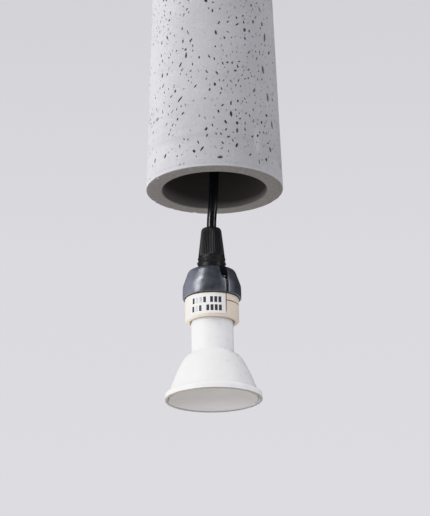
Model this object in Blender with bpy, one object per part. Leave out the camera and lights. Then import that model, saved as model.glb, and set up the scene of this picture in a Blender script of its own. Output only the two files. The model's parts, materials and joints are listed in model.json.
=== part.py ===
"""Pendant ceiling light: a slender cast-concrete shade on a round black cable.

The cable hangs from a small ceiling canopy and runs down through the shade. A lock on top of the
shade clamps the cable, so the shade slides along it. The lampholder hangs below the rim, as it does
while the bulb is changed, and holds a GU10 reflector bulb.

The origin is the middle of the face that meets the ceiling, +Z is up, and the front is -Y.
Sizes below are in millimetres and become metres where a mesh is made. Angles are in degrees.
"""

import math

import bmesh
import bpy
from mathutils import Matrix, Vector

MM = 0.001
GAP = 0.3  # clearance between pieces that touch

# --- driving dimensions -------------------------------------------------------------------------
CABLE_RADIUS = 2.5
CABLE_BORE = 2.8
THREAD_RADIUS = 4.9  # M10 x 1 lamp thread
THREAD_HOLE = 5.2

CANOPY_RADIUS = 45.0
CANOPY_HEIGHT = 36.0
CANOPY_WALL = 1.2
SIDE_SCREW_Z = -9.0
BRACKET_HALF_LENGTH = 42.2
BRACKET_HALF_WIDTH = 9.0
BRACKET_THICKNESS = 1.5
BRACKET_TAB = 15.0
SLOT_OFFSET = 26.0
SLOT_LENGTH = 12.0
SLOT_WIDTH = 5.0
SEAT_MARGIN = 2.7  # the pressed seat under each ceiling screw, wider than its slot by this all round
SEAT_RISE = 0.4
ANCHOR_BOTTOM_Z = -50.0
SHEATH_END_Z = -24.0  # where the cable's sheath ends inside the canopy

SWING_X_Z = -60.0  # the cable bends here, front to back
SWING_Y_Z = -80.0  # and here, side to side
BEND_CLEARANCE = 1.4  # lets the square ends of the cable sections turn past each other

LOCK_HEIGHT = 25.0
LOCK_TOP_Z = -170.0
SHADE_LENGTH = 300.0
SHADE_TOP_Z = LOCK_TOP_Z - LOCK_HEIGHT
RIM_Z = SHADE_TOP_Z - SHADE_LENGTH
RIM_RADIUS = 36.45
RIM_WALL = 8.65
SHADE_TAPER = 0.0325  # radius lost per unit of height
SHADE_TOP_THICKNESS = 14.0

# Heights from here down are counted from the rim of the shade.
HOLDER_OFFSET_X = -2.0  # the cable's own set carries the lampholder a little to the left
HOLDER_CABLE_END = -47.6
GRIP_TOP = -21.5
GRIP_BOTTOM = -43.2
GRIP_TOP_RADIUS = 5.2
GRIP_BOTTOM_RADIUS = 7.4
CAP_BOTTOM = -60.5
CAP_RADIUS = 15.3
SCREW_AZIMUTH = 32.0  # from the front towards the right
SCREW_RING_RADIUS = 11.6
SOCKET_RADIUS = 14.0
SOCKET_MOUTH = -73.3
SOCKET_BORE = 11.2
SOCKET_SEAM = -64.5
SEAM_SPAN = 112.0  # degrees of the side that the seam runs round

PIN_SPACING = 10.0
PIN_TWIST = 25.0

# Heights of the bulb are counted from its seat, a little below the mouth of the socket.
BULB_SEAT_Z = -74.0
BULB_LEAN = 0.5
BULB_RADIUS = 25.0
BULB_NECK_RADIUS = 10.9
BULB_WALL = 1.3
BULB_FLAT_END = 8.0
BULB_FACE = -41.0
LED_COUNT = 6
LED_RING_RADIUS = 10.5

SEGMENTS_LARGE = 36
SEGMENTS_MEDIUM = 30
SEGMENTS_SMALL = 16

# --- materials ----------------------------------------------------------------------------------
MATERIALS = {
    "concrete": ((0.50, 0.49, 0.50), 0.9, 0.0),
    "black_metal": ((0.02, 0.02, 0.022), 0.45, 0.6),
    "zinc_steel": ((0.62, 0.63, 0.65), 0.35, 1.0),
    "brass": ((0.78, 0.58, 0.28), 0.3, 1.0),
    "black_plastic": ((0.018, 0.018, 0.02), 0.5, 0.0),
    "cap_plastic": ((0.055, 0.062, 0.078), 0.38, 0.0),
    "cable_sheath": ((0.008, 0.008, 0.009), 0.22, 0.0),
    "brown_core": ((0.16, 0.06, 0.03), 0.45, 0.0),
    "blue_core": ((0.03, 0.12, 0.42), 0.45, 0.0),
    "grey_rubber": ((0.05, 0.05, 0.05), 0.8, 0.0),
    "cream_plastic": ((0.78, 0.66, 0.52), 0.45, 0.0),
    "steatite": ((0.85, 0.83, 0.78), 0.5, 0.0),
    "label_paper": ((0.88, 0.88, 0.87), 0.6, 0.0),
    "bulb_white": ((0.86, 0.86, 0.85), 0.35, 0.0),
    "lens_frosted": ((0.62, 0.61, 0.59), 0.5, 0.0),
    "aluminium": ((0.75, 0.76, 0.78), 0.35, 1.0),
    "circuit_board": ((0.03, 0.22, 0.10), 0.5, 0.0),
    "board_white": ((0.85, 0.85, 0.85), 0.5, 0.0),
    "led_phosphor": ((0.85, 0.66, 0.12), 0.4, 0.0),
    "component_black": ((0.02, 0.02, 0.02), 0.4, 0.0),
}


def material(name):
    """The Principled material of that name, made the first time it is asked for."""
    found = bpy.data.materials.get(name)
    if found:
        return found
    colour, roughness, metallic = MATERIALS[name]
    made = bpy.data.materials.new(name)
    made.use_nodes = True
    shader = made.node_tree.nodes["Principled BSDF"]
    shader.inputs["Base Color"].default_value = (*colour, 1.0)
    shader.inputs["Roughness"].default_value = roughness
    shader.inputs["Metallic"].default_value = metallic
    made.diffuse_color = (*colour, 1.0)
    return made


# --- modelling tools ----------------------------------------------------------------------------
def clear_scene():
    for thing in list(bpy.data.objects):
        bpy.data.objects.remove(thing)


def empty(name, place=(0, 0, 0), parent=None, lean=0.0):
    """An axis for the pieces that move together, leaning about the Y axis."""
    axis = bpy.data.objects.new(name, None)
    bpy.context.scene.collection.objects.link(axis)
    axis.location = Vector(place) * MM
    axis.rotation_euler = (0, math.radians(lean), 0)
    axis.parent = parent
    return axis


def finished(name, bm, material_name, parent=None, place=(0, 0, 0), smooth_angle=40):
    """The object of a bmesh drawn in millimetres."""
    bmesh.ops.recalc_face_normals(bm, faces=bm.faces)
    bmesh.ops.scale(bm, vec=(MM, MM, MM), verts=bm.verts)
    mesh = bpy.data.meshes.new(name)
    bm.to_mesh(mesh)
    bm.free()
    mesh.shade_smooth()
    mesh.set_sharp_from_angle(angle=math.radians(smooth_angle))
    piece = bpy.data.objects.new(name, mesh)
    bpy.context.scene.collection.objects.link(piece)
    if material_name:
        mesh.materials.append(material(material_name))
    piece.parent = parent
    piece.location = Vector(place) * MM
    return piece


def turned_mesh(profile, segments):
    """A profile of (radius, height) spun about the Z axis. It is a closed loop unless it starts and ends at
    radius 0, where the end faces are flat."""
    bm = bmesh.new()
    points = [bm.verts.new((radius, 0, height)) for radius, height in profile]
    edges = [bm.edges.new(pair) for pair in zip(points, points[1:])]
    if profile[0][0] > 0:
        edges.append(bm.edges.new((points[-1], points[0])))
    bmesh.ops.spin(
        bm,
        geom=points + edges,
        axis=(0, 0, 1),
        cent=(0, 0, 0),
        angle=math.tau,
        steps=segments,
        use_merge=True,
    )
    bmesh.ops.remove_doubles(bm, verts=bm.verts, dist=1e-4)
    poles = [v for v in bm.verts if math.hypot(v.co.x, v.co.y) < 1e-4]
    bmesh.ops.dissolve_verts(bm, verts=poles)
    return bm


def turned(name, profile, material_name, segments=SEGMENTS_SMALL, **where):
    return finished(name, turned_mesh(profile, segments), material_name, **where)


def prism_mesh(outline, low, high):
    """An outline in XY, raised from one height to another."""
    bm = bmesh.new()
    face = bm.faces.new([bm.verts.new((x, y, low)) for x, y in outline])
    top = bmesh.ops.extrude_face_region(bm, geom=[face])["geom"]
    raised = [part for part in top if isinstance(part, bmesh.types.BMVert)]
    bmesh.ops.translate(bm, vec=(0, 0, high - low), verts=raised)
    return bm


def prism(name, outline, low, high, material_name, turn=None, **where):
    bm = prism_mesh(outline, low, high)
    if turn:
        bmesh.ops.transform(bm, matrix=turn, verts=bm.verts)
    return finished(name, bm, material_name, **where)


def block(name, low, high, material_name, bevel=0.0, **where):
    """A box between two corners, with its edges rounded by the bevel."""
    outline = [(low[0], low[1]), (high[0], low[1]), (high[0], high[1]), (low[0], high[1])]
    piece = prism(name, outline, low[2], high[2], material_name, **where)
    if bevel:
        rounding = piece.modifiers.new("rounded_edges", "BEVEL")
        rounding.width = bevel * MM
        rounding.segments = 2
    return piece


def disc_outline(radius, count, centre=(0, 0), start=0.0):
    turns = [math.radians(start) + math.tau * i / count for i in range(count)]
    return [(centre[0] + radius * math.cos(t), centre[1] + radius * math.sin(t)) for t in turns]


def stadium_outline(length, width, centre=(0, 0), steps=6):
    """A slot along X with round ends."""
    reach = (length - width) / 2
    outline = []
    for side in (1, -1):
        for i in range(steps + 1):
            t = math.pi * i / steps - math.pi / 2
            x = side * (reach + width / 2 * math.cos(t))
            y = side * width / 2 * math.sin(t)
            outline.append((centre[0] + x, centre[1] + y))
    return outline


def arc_slot_outline(ring_radius, half_width, start, end, steps=6):
    """A slot with round ends that follows an arc about the Z axis."""
    outline = []
    for i in range(steps + 1):
        t = math.radians(start + (end - start) * i / steps)
        outline.append(((ring_radius + half_width) * math.cos(t), (ring_radius + half_width) * math.sin(t)))
    for tip, side in ((end, 1), (start, -1)):
        if tip == start:
            for i in range(steps + 1):
                t = math.radians(end + (start - end) * i / steps)
                inner = ring_radius - half_width
                outline.append((inner * math.cos(t), inner * math.sin(t)))
        centre = (ring_radius * math.cos(math.radians(tip)), ring_radius * math.sin(math.radians(tip)))
        for i in range(1, steps):
            swing = math.pi * i / steps + (0 if side > 0 else math.pi)
            t = math.radians(tip) + swing
            outline.append((centre[0] + half_width * math.cos(t), centre[1] + half_width * math.sin(t)))
    return outline


def sector_outline(inner, outer, start, end, steps=16):
    """The part of a ring between two angles about the Z axis."""
    angles = [math.radians(start + (end - start) * i / steps) for i in range(steps + 1)]
    outside = [(outer * math.cos(t), outer * math.sin(t)) for t in angles]
    inside = [(inner * math.cos(t), inner * math.sin(t)) for t in reversed(angles)]
    return outside + inside


def rounded_outline(corners, radii, steps=4):
    """Corners joined by straight edges, each corner with its own fillet radius."""
    outline = []
    for i, corner in enumerate(corners):
        here = Vector(corner)
        before = (Vector(corners[i - 1]) - here).normalized()
        after = (Vector(corners[(i + 1) % len(corners)]) - here).normalized()
        if radii[i] == 0:
            outline.append(tuple(here))
            continue
        half = before.angle(after) / 2
        reach = radii[i] / math.tan(half)
        centre = here + (before + after).normalized() * radii[i] / math.sin(half)
        first = (here + before * reach - centre).normalized()
        last = (here + after * reach - centre).normalized()
        for k in range(steps + 1):
            outline.append(tuple(centre + first.slerp(last, k / steps) * radii[i]))
    return outline


def azimuth_point(azimuth, radius):
    """The point at that radius, an azimuth away from the front (-Y) towards the right (+X)."""
    t = math.radians(azimuth)
    return radius * math.sin(t), -radius * math.cos(t)


def plane_angle(azimuth):
    """The angle about +Z, from +X, of an azimuth from the front."""
    return azimuth - 90.0


def combine(piece, operation, tools):
    """Joins the tools to the piece or takes them away from it. They stay as hidden guides."""
    for tool in tools:
        step = piece.modifiers.new(tool.name, "BOOLEAN")
        step.operation = operation
        step.solver = "EXACT"
        step.object = tool
        tool.hide_render = True
        tool.display_type = "WIRE"
    return piece


def cut(piece, *cutters):
    return combine(piece, "DIFFERENCE", cutters)


def drill(name, radius, start, end, parent=None, segments=16):
    """A cylinder between two points, for use as a cutter."""
    start, end = Vector(start), Vector(end)
    bm = prism_mesh(disc_outline(radius, segments), 0.0, (end - start).length)
    aim = Vector((0, 0, 1)).rotation_difference(end - start).to_matrix().to_4x4()
    bmesh.ops.transform(bm, matrix=Matrix.Translation(start) @ aim, verts=bm.verts)
    return finished(name, bm, None, parent=parent)


def catmull_route(points, spacing):
    """Points about that far apart on one smooth curve through the given ones."""
    ends = [Vector(p) for p in points]
    ends = [2 * ends[0] - ends[1], *ends, 2 * ends[-1] - ends[-2]]
    route = [ends[1]]
    for a, b, c, d in zip(ends, ends[1:], ends[2:], ends[3:]):
        steps = max(1, round((c - b).length / spacing))
        for i in range(1, steps + 1):
            t = i / steps
            bend = (2 * a - 5 * b + 4 * c - d) * t**2 + (3 * b - a - 3 * c + d) * t**3
            route.append(0.5 * (2 * b + (c - a) * t + bend))
    return route


def tube(name, route, radius, material_name, resolution=2, parent=None):
    """A round tube along the points, with closed ends."""
    curve = bpy.data.curves.new(name, "CURVE")
    curve.dimensions = "3D"
    curve.bevel_depth = radius * MM
    curve.bevel_resolution = resolution
    curve.use_fill_caps = True
    spline = curve.splines.new("POLY")
    spline.points.add(len(route) - 1)
    for slot, point in zip(spline.points, route):
        slot.co = (*(Vector(point) * MM), 1.0)
    curve.materials.append(material(material_name))
    piece = bpy.data.objects.new(name, curve)
    bpy.context.scene.collection.objects.link(piece)
    piece.parent = parent
    return piece


def screw(name, radius, head_radius, head_height, length, material_name, start, toward, parent=None):
    """A slotted pan-head screw. Its head's seat is at start, and its shank runs toward a direction."""
    profile = [
        (0, head_height),
        (head_radius * 0.7, head_height),
        (head_radius, head_height * 0.55),
        (head_radius, 0),
        (radius, 0),
        (radius, -length + radius * 0.6),
        (radius * 0.5, -length),
        (0, -length),
    ]
    bm = turned_mesh(profile, 12)
    aim = Vector((0, 0, -1)).rotation_difference(Vector(toward)).to_matrix().to_4x4()
    placed = Matrix.Translation(Vector(start)) @ aim
    bmesh.ops.transform(bm, matrix=placed, verts=bm.verts)
    piece = finished(name, bm, material_name, parent=parent)
    width, depth = head_radius * 0.18, head_height * 0.45
    reach = head_radius * 2
    outline = [(-width, -reach), (width, -reach), (width, reach), (-width, reach)]
    slot = prism(
        name + "_slot", outline, head_height - depth, head_height * 2, None, turn=placed, parent=parent
    )
    return cut(piece, slot)


# --- the canopy at the ceiling ------------------------------------------------------------------
def ceiling_bracket():
    """A steel strap with a tab bent down at each end and two slots with pressed seats for ceiling screws."""
    outer, inner = BRACKET_HALF_LENGTH, BRACKET_HALF_LENGTH - BRACKET_THICKNESS
    corners = [
        (-outer, -BRACKET_TAB),
        (-outer, 0),
        (outer, 0),
        (outer, -BRACKET_TAB),
        (inner, -BRACKET_TAB),
        (inner, -BRACKET_THICKNESS),
        (-inner, -BRACKET_THICKNESS),
        (-inner, -BRACKET_TAB),
    ]
    outline = rounded_outline(corners, [0, 2.5, 2.5, 0, 0, 1.0, 1.0, 0])
    stand = Matrix.Rotation(math.pi / 2, 4, "X")
    strap = prism(
        "ceiling_bracket", outline, -BRACKET_HALF_WIDTH, BRACKET_HALF_WIDTH, "zinc_steel", turn=stand
    )
    for side, word in ((-1, "left"), (1, "right")):
        middle = (side * SLOT_OFFSET, 0)
        seat = prism(
            "bracket_seat_" + word,
            stadium_outline(SLOT_LENGTH + 2 * SEAT_MARGIN, SLOT_WIDTH + 2 * SEAT_MARGIN, centre=middle),
            -BRACKET_THICKNESS - SEAT_RISE,
            -BRACKET_THICKNESS / 2,
            None,
        )
        combine(strap, "UNION", [seat])
        slot = prism(
            "bracket_slot_" + word, stadium_outline(SLOT_LENGTH, SLOT_WIDTH, centre=middle), -4, 2, None
        )
        near, far = side * (inner - 2), side * (outer + 2)
        hole = drill("bracket_hole_" + word, 2.2, (near, 0, SIDE_SCREW_Z), (far, 0, SIDE_SCREW_Z))
        cut(strap, slot, hole)
    return strap


def canopy_cup():
    """A drawn steel cup that hides the wiring, open at the ceiling."""
    outside, bottom = CANOPY_RADIUS, -CANOPY_HEIGHT
    inside = outside - CANOPY_WALL
    fillet = 4.0
    steps = 3
    profile = [(THREAD_HOLE + 0.1, bottom)]
    for i in range(steps + 1):
        t = math.pi / 2 * i / steps
        profile.append((outside - fillet + fillet * math.sin(t), bottom + fillet - fillet * math.cos(t)))
    profile += [(outside, -0.5), (inside, -0.5)]
    small = fillet - CANOPY_WALL
    for i in range(steps + 1):
        t = math.pi / 2 * (1 - i / steps)
        profile.append((outside - fillet + small * math.sin(t), bottom + fillet - small * math.cos(t)))
    profile.append((THREAD_HOLE + 0.1, bottom + CANOPY_WALL))
    cup = turned("canopy_cup", profile, "black_metal", SEGMENTS_LARGE)
    for side, word in ((-1, "left"), (1, "right")):
        near, far = side * (inside - 2), side * (outside + 2)
        cut(cup, drill("canopy_hole_" + word, 2.3, (near, 0, SIDE_SCREW_Z), (far, 0, SIDE_SCREW_Z)))
        start = (side * (outside + GAP), 0, SIDE_SCREW_Z)
        screw("canopy_screw_" + word, 1.9, 4.0, 2.4, 6.0, "black_metal", start, (-side, 0, 0))


def terminal_block():
    """Two brass clamps in a moulded block under the bracket, with their screws and the cable's cores."""
    top, height = -BRACKET_THICKNESS - GAP, 12.0
    bore_z = top - 5.0
    body = block("terminal_block", (-10, -8.5, top - height), (10, 8.5, top), "board_white", bevel=0.8)
    for side, word, core in ((-1, "neutral", "blue_core"), (1, "live", "brown_core")):
        y = side * 4.2
        bore = drill("terminal_bore_" + word, 2.6, (-12, y, bore_z), (12, y, bore_z))
        well = drill("terminal_well_" + word, 2.1, (0, y, top - height - 2), (0, y, bore_z))
        cut(body, bore, well)
        clamp = prism(
            "terminal_clamp_" + word,
            disc_outline(2.3, 16),
            -8,
            8,
            "brass",
            turn=Matrix.Translation((0, y, bore_z)) @ Matrix.Rotation(math.pi / 2, 4, "Y"),
        )
        wire_hole = drill("clamp_wire_hole_" + word, 1.35, (-9, y, bore_z), (9, y, bore_z), segments=12)
        screw_hole = drill("clamp_screw_hole_" + word, 1.1, (0, y, bore_z - 4), (0, y, bore_z), segments=12)
        cut(clamp, wire_hole, screw_hole)
        seat = (0, y, bore_z - 4.6)
        screw("terminal_screw_" + word, 0.8, 1.7, 1.4, 3.9, "zinc_steel", seat, (0, 0, 1))
        route = [
            (0, side * 1.2, SHEATH_END_Z + GAP),
            (0.6, side * 1.6, SHEATH_END_Z + 3),
            (8, side * 3.4, SHEATH_END_Z + 6.5),
            (15.5, y, bore_z - 5.5),
            (14.5, y, bore_z - 0.6),
            (7, y, bore_z),
        ]
        tube("wire_top_" + word, catmull_route(route, 2.4), 0.9, core, resolution=1)


def canopy_cord_grip():
    """The moulded grip that clamps the cable in the middle of the canopy."""
    under = -CANOPY_HEIGHT - GAP
    profile = [
        (CABLE_BORE, -26),
        (CABLE_BORE, ANCHOR_BOTTOM_Z + 0.8),
        (CABLE_BORE + 0.8, ANCHOR_BOTTOM_Z),
        (5.2, ANCHOR_BOTTOM_Z),
        (6.2, ANCHOR_BOTTOM_Z + 1.2),
        (6.8, under - 3.2),
        (8.0, under - 2.6),
        (8.5, under - 1.4),
        (8.5, under),
        (THREAD_RADIUS, under),
        (THREAD_RADIUS, -26.6),
        (THREAD_RADIUS - 0.6, -26),
    ]
    body = turned("canopy_grip_body", list(reversed(profile)), "black_plastic", 20)
    screw_z = ANCHOR_BOTTOM_Z + 5.5
    cut(body, drill("canopy_grip_screw_hole", 1.8, (0, 0, screw_z), (12, 0, screw_z)))
    screw("canopy_grip_screw", 1.5, 1.6, 1.2, 3.2, "black_plastic", (6.1, 0, screw_z), (-1, 0, 0))
    nut_top, nut_low = -28.0, -CANOPY_HEIGHT + CANOPY_WALL + GAP
    nut = prism("canopy_grip_nut", disc_outline(8.1, 6), nut_low, nut_top, "zinc_steel")
    cut(nut, drill("canopy_nut_hole", THREAD_HOLE, (0, 0, nut_low - 1), (0, 0, nut_top + 1), segments=24))


def upper_cable():
    """The cable's fixed end in the canopy, and the short section that it bends over."""
    spacing = 10.0
    fixed = [(0, 0, SHEATH_END_Z), (0, 0, SWING_X_Z + BEND_CLEARANCE)]
    tube("cable_anchor_section", catmull_route(fixed, spacing), CABLE_RADIUS, "cable_sheath")
    axis = empty("cable_bend_axis", (0, 0, SWING_X_Z))
    low = SWING_Y_Z - SWING_X_Z + BEND_CLEARANCE
    bent = catmull_route([(0, 0, 0), (0, 0, low)], spacing)
    tube("cable_bend_section", bent, CABLE_RADIUS, "cable_sheath", parent=axis)


# --- the hanging cable and the lampholder ---------------------------------------------------------
def main_cable(pendant):
    """The hanging cable, straight through the shade and then eased over to the lampholder's axis."""
    drop = RIM_Z - SWING_Y_Z
    x = HOLDER_OFFSET_X
    route = [
        (0, 0, 0),
        (0, 0, (drop + 45) / 3),
        (0, 0, (drop + 45) * 2 / 3),
        (0, 0, drop + 45),
        (0, 0, drop + 22),
        (x * 0.16, 0, drop + 8),
        (x * 0.62, 0, drop - 6),
        (x, 0, drop - 20),
        (x, 0, drop - 34),
        (x, 0, drop + HOLDER_CABLE_END),
    ]
    tube("cable_main", catmull_route(route, 11.0), CABLE_RADIUS, "cable_sheath", parent=pendant)


def cord_grip_on_holder(holder):
    """The ribbed cone nut that presses a split collet on to the cable."""
    shoulder = 1.5
    ribs_end = -37.0
    slope = (GRIP_BOTTOM_RADIUS - GRIP_TOP_RADIUS) / (GRIP_TOP - GRIP_BOTTOM)
    profile = [
        (CABLE_BORE, GRIP_TOP),
        (GRIP_TOP_RADIUS - 0.9, GRIP_TOP),
        (GRIP_TOP_RADIUS - 0.2, GRIP_TOP - shoulder * 0.5),
        (GRIP_TOP_RADIUS + slope * shoulder, GRIP_TOP - shoulder),
        (GRIP_TOP_RADIUS + slope * (GRIP_TOP - ribs_end), ribs_end),
        (GRIP_BOTTOM_RADIUS, GRIP_BOTTOM + 1.2),
        (GRIP_BOTTOM_RADIUS, GRIP_BOTTOM),
        (THREAD_HOLE, GRIP_BOTTOM),
        (THREAD_HOLE, -27.5),
        (CABLE_BORE + 0.6, -24.2),
        (CABLE_BORE, -23.5),
    ]
    turned("grip_nut", profile, "black_plastic", 24, parent=holder)
    collet = turned(
        "grip_collet",
        [(CABLE_BORE, -25.0), (3.6, -25.0), (4.7, -28.2), (4.7, -32.2), (CABLE_BORE, -32.2)],
        "black_plastic",
        24,
        parent=holder,
    )
    for turn in (0, 90):
        reach = (7, 0.35) if turn == 0 else (0.35, 7)
        slit = block(f"collet_slit_{turn}", (-reach[0], -reach[1], -30.4), (reach[0], reach[1], -22), None)
        slit.parent = holder
        cut(collet, slit)


def lampholder_cap(holder):
    """The domed cover with its threaded spigot, two screw wells and a slit below each."""
    spigot_top, dome_top = -33.0, GRIP_BOTTOM - GAP
    profile = [
        (CABLE_BORE, spigot_top),
        (THREAD_RADIUS, spigot_top),
        (THREAD_RADIUS, dome_top),
        (7.6, dome_top),
        (10.4, -44.5),
        (11.8, -45.9),
        (12.9, -48.4),
        (14.1, -52.0),
        (14.75, -54.8),
        (15.15, -57.6),
        (CAP_RADIUS, CAP_BOTTOM + 0.4),
        (CAP_RADIUS - 0.2, CAP_BOTTOM),
        (14.3, CAP_BOTTOM),
        (13.5, -53.7),
        (9.6, -53.7),
        (9.6, -49.8),
        (7.2, -46.9),
        (CABLE_BORE, -46.9),
    ]
    cap = turned("lampholder_cap", profile, "cap_plastic", SEGMENTS_LARGE, parent=holder)
    for word, azimuth in (("front", SCREW_AZIMUTH), ("rear", SCREW_AZIMUTH + 180)):
        x, y = azimuth_point(azimuth, SCREW_RING_RADIUS)
        well = drill("cap_well_" + word, 1.9, (x, y, -40), (x, y, -52.0), holder)
        hole = drill("cap_screw_hole_" + word, 1.2, (x, y, -51), (x, y, -55), holder)
        slit = prism(
            "cap_slit_" + word,
            [(13.4, -0.25), (17, -0.25), (17, 0.25), (13.4, 0.25)],
            CAP_BOTTOM - 2,
            -50,
            None,
            turn=Matrix.Rotation(math.radians(plane_angle(azimuth)), 4, "Z"),
            parent=holder,
        )
        cut(cap, well, hole, slit)
        screw("cap_screw_" + word, 0.9, 1.5, 1.1, 6.5, "zinc_steel", (x, y, -51.7), (0, 0, -1), parent=holder)


def seam_sectors():
    """Start and end angles, from +X, of the two stretches of side where the socket's seam shows."""
    start = plane_angle(SCREW_AZIMUTH)
    return [(start, start + SEAM_SPAN), (start + 180, start + 180 + SEAM_SPAN)]


def socket_shells(holder):
    """The cream socket: an upper ring that takes the cap's screws, and the lower shell round the bulb."""
    ring_radius, ring_bore = 13.0, 10.2
    ring_low = SOCKET_SEAM + GAP / 2
    upper = turned(
        "socket_ring_upper",
        [
            (ring_bore, -54.0),
            (ring_radius, -54.0),
            (ring_radius, CAP_BOTTOM - GAP),
            (SOCKET_RADIUS, CAP_BOTTOM - GAP),
            (SOCKET_RADIUS, ring_low),
            (ring_bore, ring_low),
        ],
        "cream_plastic",
        SEGMENTS_LARGE,
        parent=holder,
    )
    lower = turned(
        "socket_shell_lower",
        [
            (SOCKET_BORE, SOCKET_SEAM - GAP / 2),
            (ring_radius + GAP, SOCKET_SEAM - GAP / 2),
            (ring_radius + GAP, CAP_BOTTOM - GAP),
            (SOCKET_RADIUS, CAP_BOTTOM - GAP),
            (SOCKET_RADIUS, SOCKET_MOUTH + 0.6),
            (SOCKET_RADIUS - 0.5, SOCKET_MOUTH),
            (SOCKET_BORE + 0.4, SOCKET_MOUTH),
            (SOCKET_BORE, SOCKET_MOUTH + 0.5),
        ],
        "cream_plastic",
        SEGMENTS_LARGE,
        parent=holder,
    )
    clearance = 1.2
    sectors = seam_sectors()
    for word, (start, end), (_, before) in zip(("right", "left"), sectors, (sectors[1], sectors[0])):
        gap_end = start if word == "left" else start + 360
        filled = prism(
            "seam_notch_" + word,
            sector_outline(ring_radius - 1, SOCKET_RADIUS + 2, start, end),
            SOCKET_SEAM - GAP / 2,
            CAP_BOTTOM + 2,
            None,
            parent=holder,
        )
        bare = prism(
            "seam_bare_" + word,
            sector_outline(ring_radius, SOCKET_RADIUS + 2, before - clearance, gap_end + clearance),
            ring_low - 2,
            CAP_BOTTOM + 2,
            None,
            parent=holder,
        )
        cut(lower, filled)
        cut(upper, bare)
    for word, azimuth in (("front", SCREW_AZIMUTH), ("rear", SCREW_AZIMUTH + 180)):
        x, y = azimuth_point(azimuth, SCREW_RING_RADIUS)
        cut(upper, drill("ring_screw_hole_" + word, 1.15, (x, y, -52), (x, y, -59), holder, segments=12))


def socket_insides(holder):
    """The steatite core with its bayonet slots, the two contacts and the cores that feed them."""
    core_top, core_low, ledge_top, roof = -54.0, -65.6, -63.0, -58.4
    core = turned(
        "ceramic_core",
        [
            (0, core_top),
            (9.3, core_top),
            (9.9, core_top - 0.6),
            (9.9, core_low + 0.5),
            (9.4, core_low),
            (0, core_low),
        ],
        "steatite",
        SEGMENTS_MEDIUM,
        parent=holder,
    )
    ring = PIN_SPACING / 2
    for word, locked, core_colour in (("live", 0.0, "brown_core"), ("neutral", 180.0, "blue_core")):
        free = locked - PIN_TWIST
        channel = prism(
            "pin_channel_" + word,
            arc_slot_outline(ring, 3.0, free, locked),
            ledge_top,
            roof,
            None,
            parent=holder,
        )
        neck_slot = prism(
            "pin_slot_" + word,
            arc_slot_outline(ring, 1.9, free, locked),
            core_low - 2,
            ledge_top + 0.5,
            None,
            parent=holder,
        )
        x, y = ring * math.cos(math.radians(free)), ring * math.sin(math.radians(free))
        entry = drill("pin_entry_" + word, 3.0, (x, y, core_low - 2), (x, y, ledge_top + 0.5), holder)
        side = math.cos(math.radians(locked))
        tab_x = side * 6.6
        tab_slot = block(
            "contact_slot_" + word,
            (tab_x - 0.7, -2.0, roof - 0.5),
            (tab_x + 0.7, 2.0, core_top + 2),
            None,
            parent=holder,
        )
        cut(core, channel, neck_slot, entry, tab_slot)
        leaf = sorted((tab_x - side * 3.4, tab_x + side * 0.25))
        tab = sorted((tab_x - side * 0.2, tab_x + side * 0.25))
        outline = [(leaf[0], -59.6), (leaf[1], -59.6)]
        if side > 0:
            outline += [(tab[1], -51.5), (tab[0], -51.5), (tab[0], -59.1), (leaf[0], -59.1)]
        else:
            outline += [(leaf[1], -59.1), (tab[1], -59.1), (tab[1], -51.5), (tab[0], -51.5)]
        stand = Matrix.Rotation(math.pi / 2, 4, "X")
        prism("contact_" + word, outline, -1.5, 1.5, "brass", turn=stand, parent=holder)
        route = [
            (side * 1.2, 0, HOLDER_CABLE_END - GAP),
            (side * 1.7, 0, -49.2),
            (side * 3.4, 0, -50.8),
            (tab_x - side * 1.5, 0, -52.4),
        ]
        tube("wire_holder_" + word, catmull_route(route, 1.6), 0.85, core_colour, resolution=1, parent=holder)


def rating_label(holder):
    """The blank sticker round the front of the socket."""
    inner = SOCKET_RADIUS + GAP
    outline = sector_outline(inner, inner + 0.2, plane_angle(-52.0), plane_angle(30.0), steps=14)
    prism("rating_label", outline, -72.1, -61.4, "label_paper", parent=holder)


# --- the bulb -------------------------------------------------------------------------------------
def bulb_flare():
    """Outside of the bulb below its neck, as (radius, height): a bell that opens towards the lens."""
    neck_low, throat, bell_low = -15.3, 13.3, -36.0
    steps = 5
    points = [(BULB_NECK_RADIUS, neck_low)]
    for i in range(steps + 1):
        t = i / steps
        radius = throat + (22.6 - throat) * t
        height = -17.6 + (bell_low + 17.6) * t**1.42
        points.append((radius, height))
    return points


def bulb_housing(bulb):
    """The white shell: a straight neck, a bell and the lip that holds the lens."""
    flare = bulb_flare()
    top = BULB_FLAT_END - 1.9
    lip = BULB_RADIUS
    outside = [(BULB_NECK_RADIUS, top), *flare, (23.6, -37.0), (lip - 0.3, -37.6), (lip, -38.4)]
    outside += [(lip, BULB_FACE + 0.4), (lip - 0.4, BULB_FACE)]
    inside = [(23.9, BULB_FACE), (23.9, -38.5), (22.2, -38.5)]
    inside += [(radius - BULB_WALL, height) for radius, height in reversed(flare)]
    inside.append((BULB_NECK_RADIUS - BULB_WALL, top))
    turned("bulb_housing", outside + inside, "bulb_white", SEGMENTS_LARGE, parent=bulb)


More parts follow.
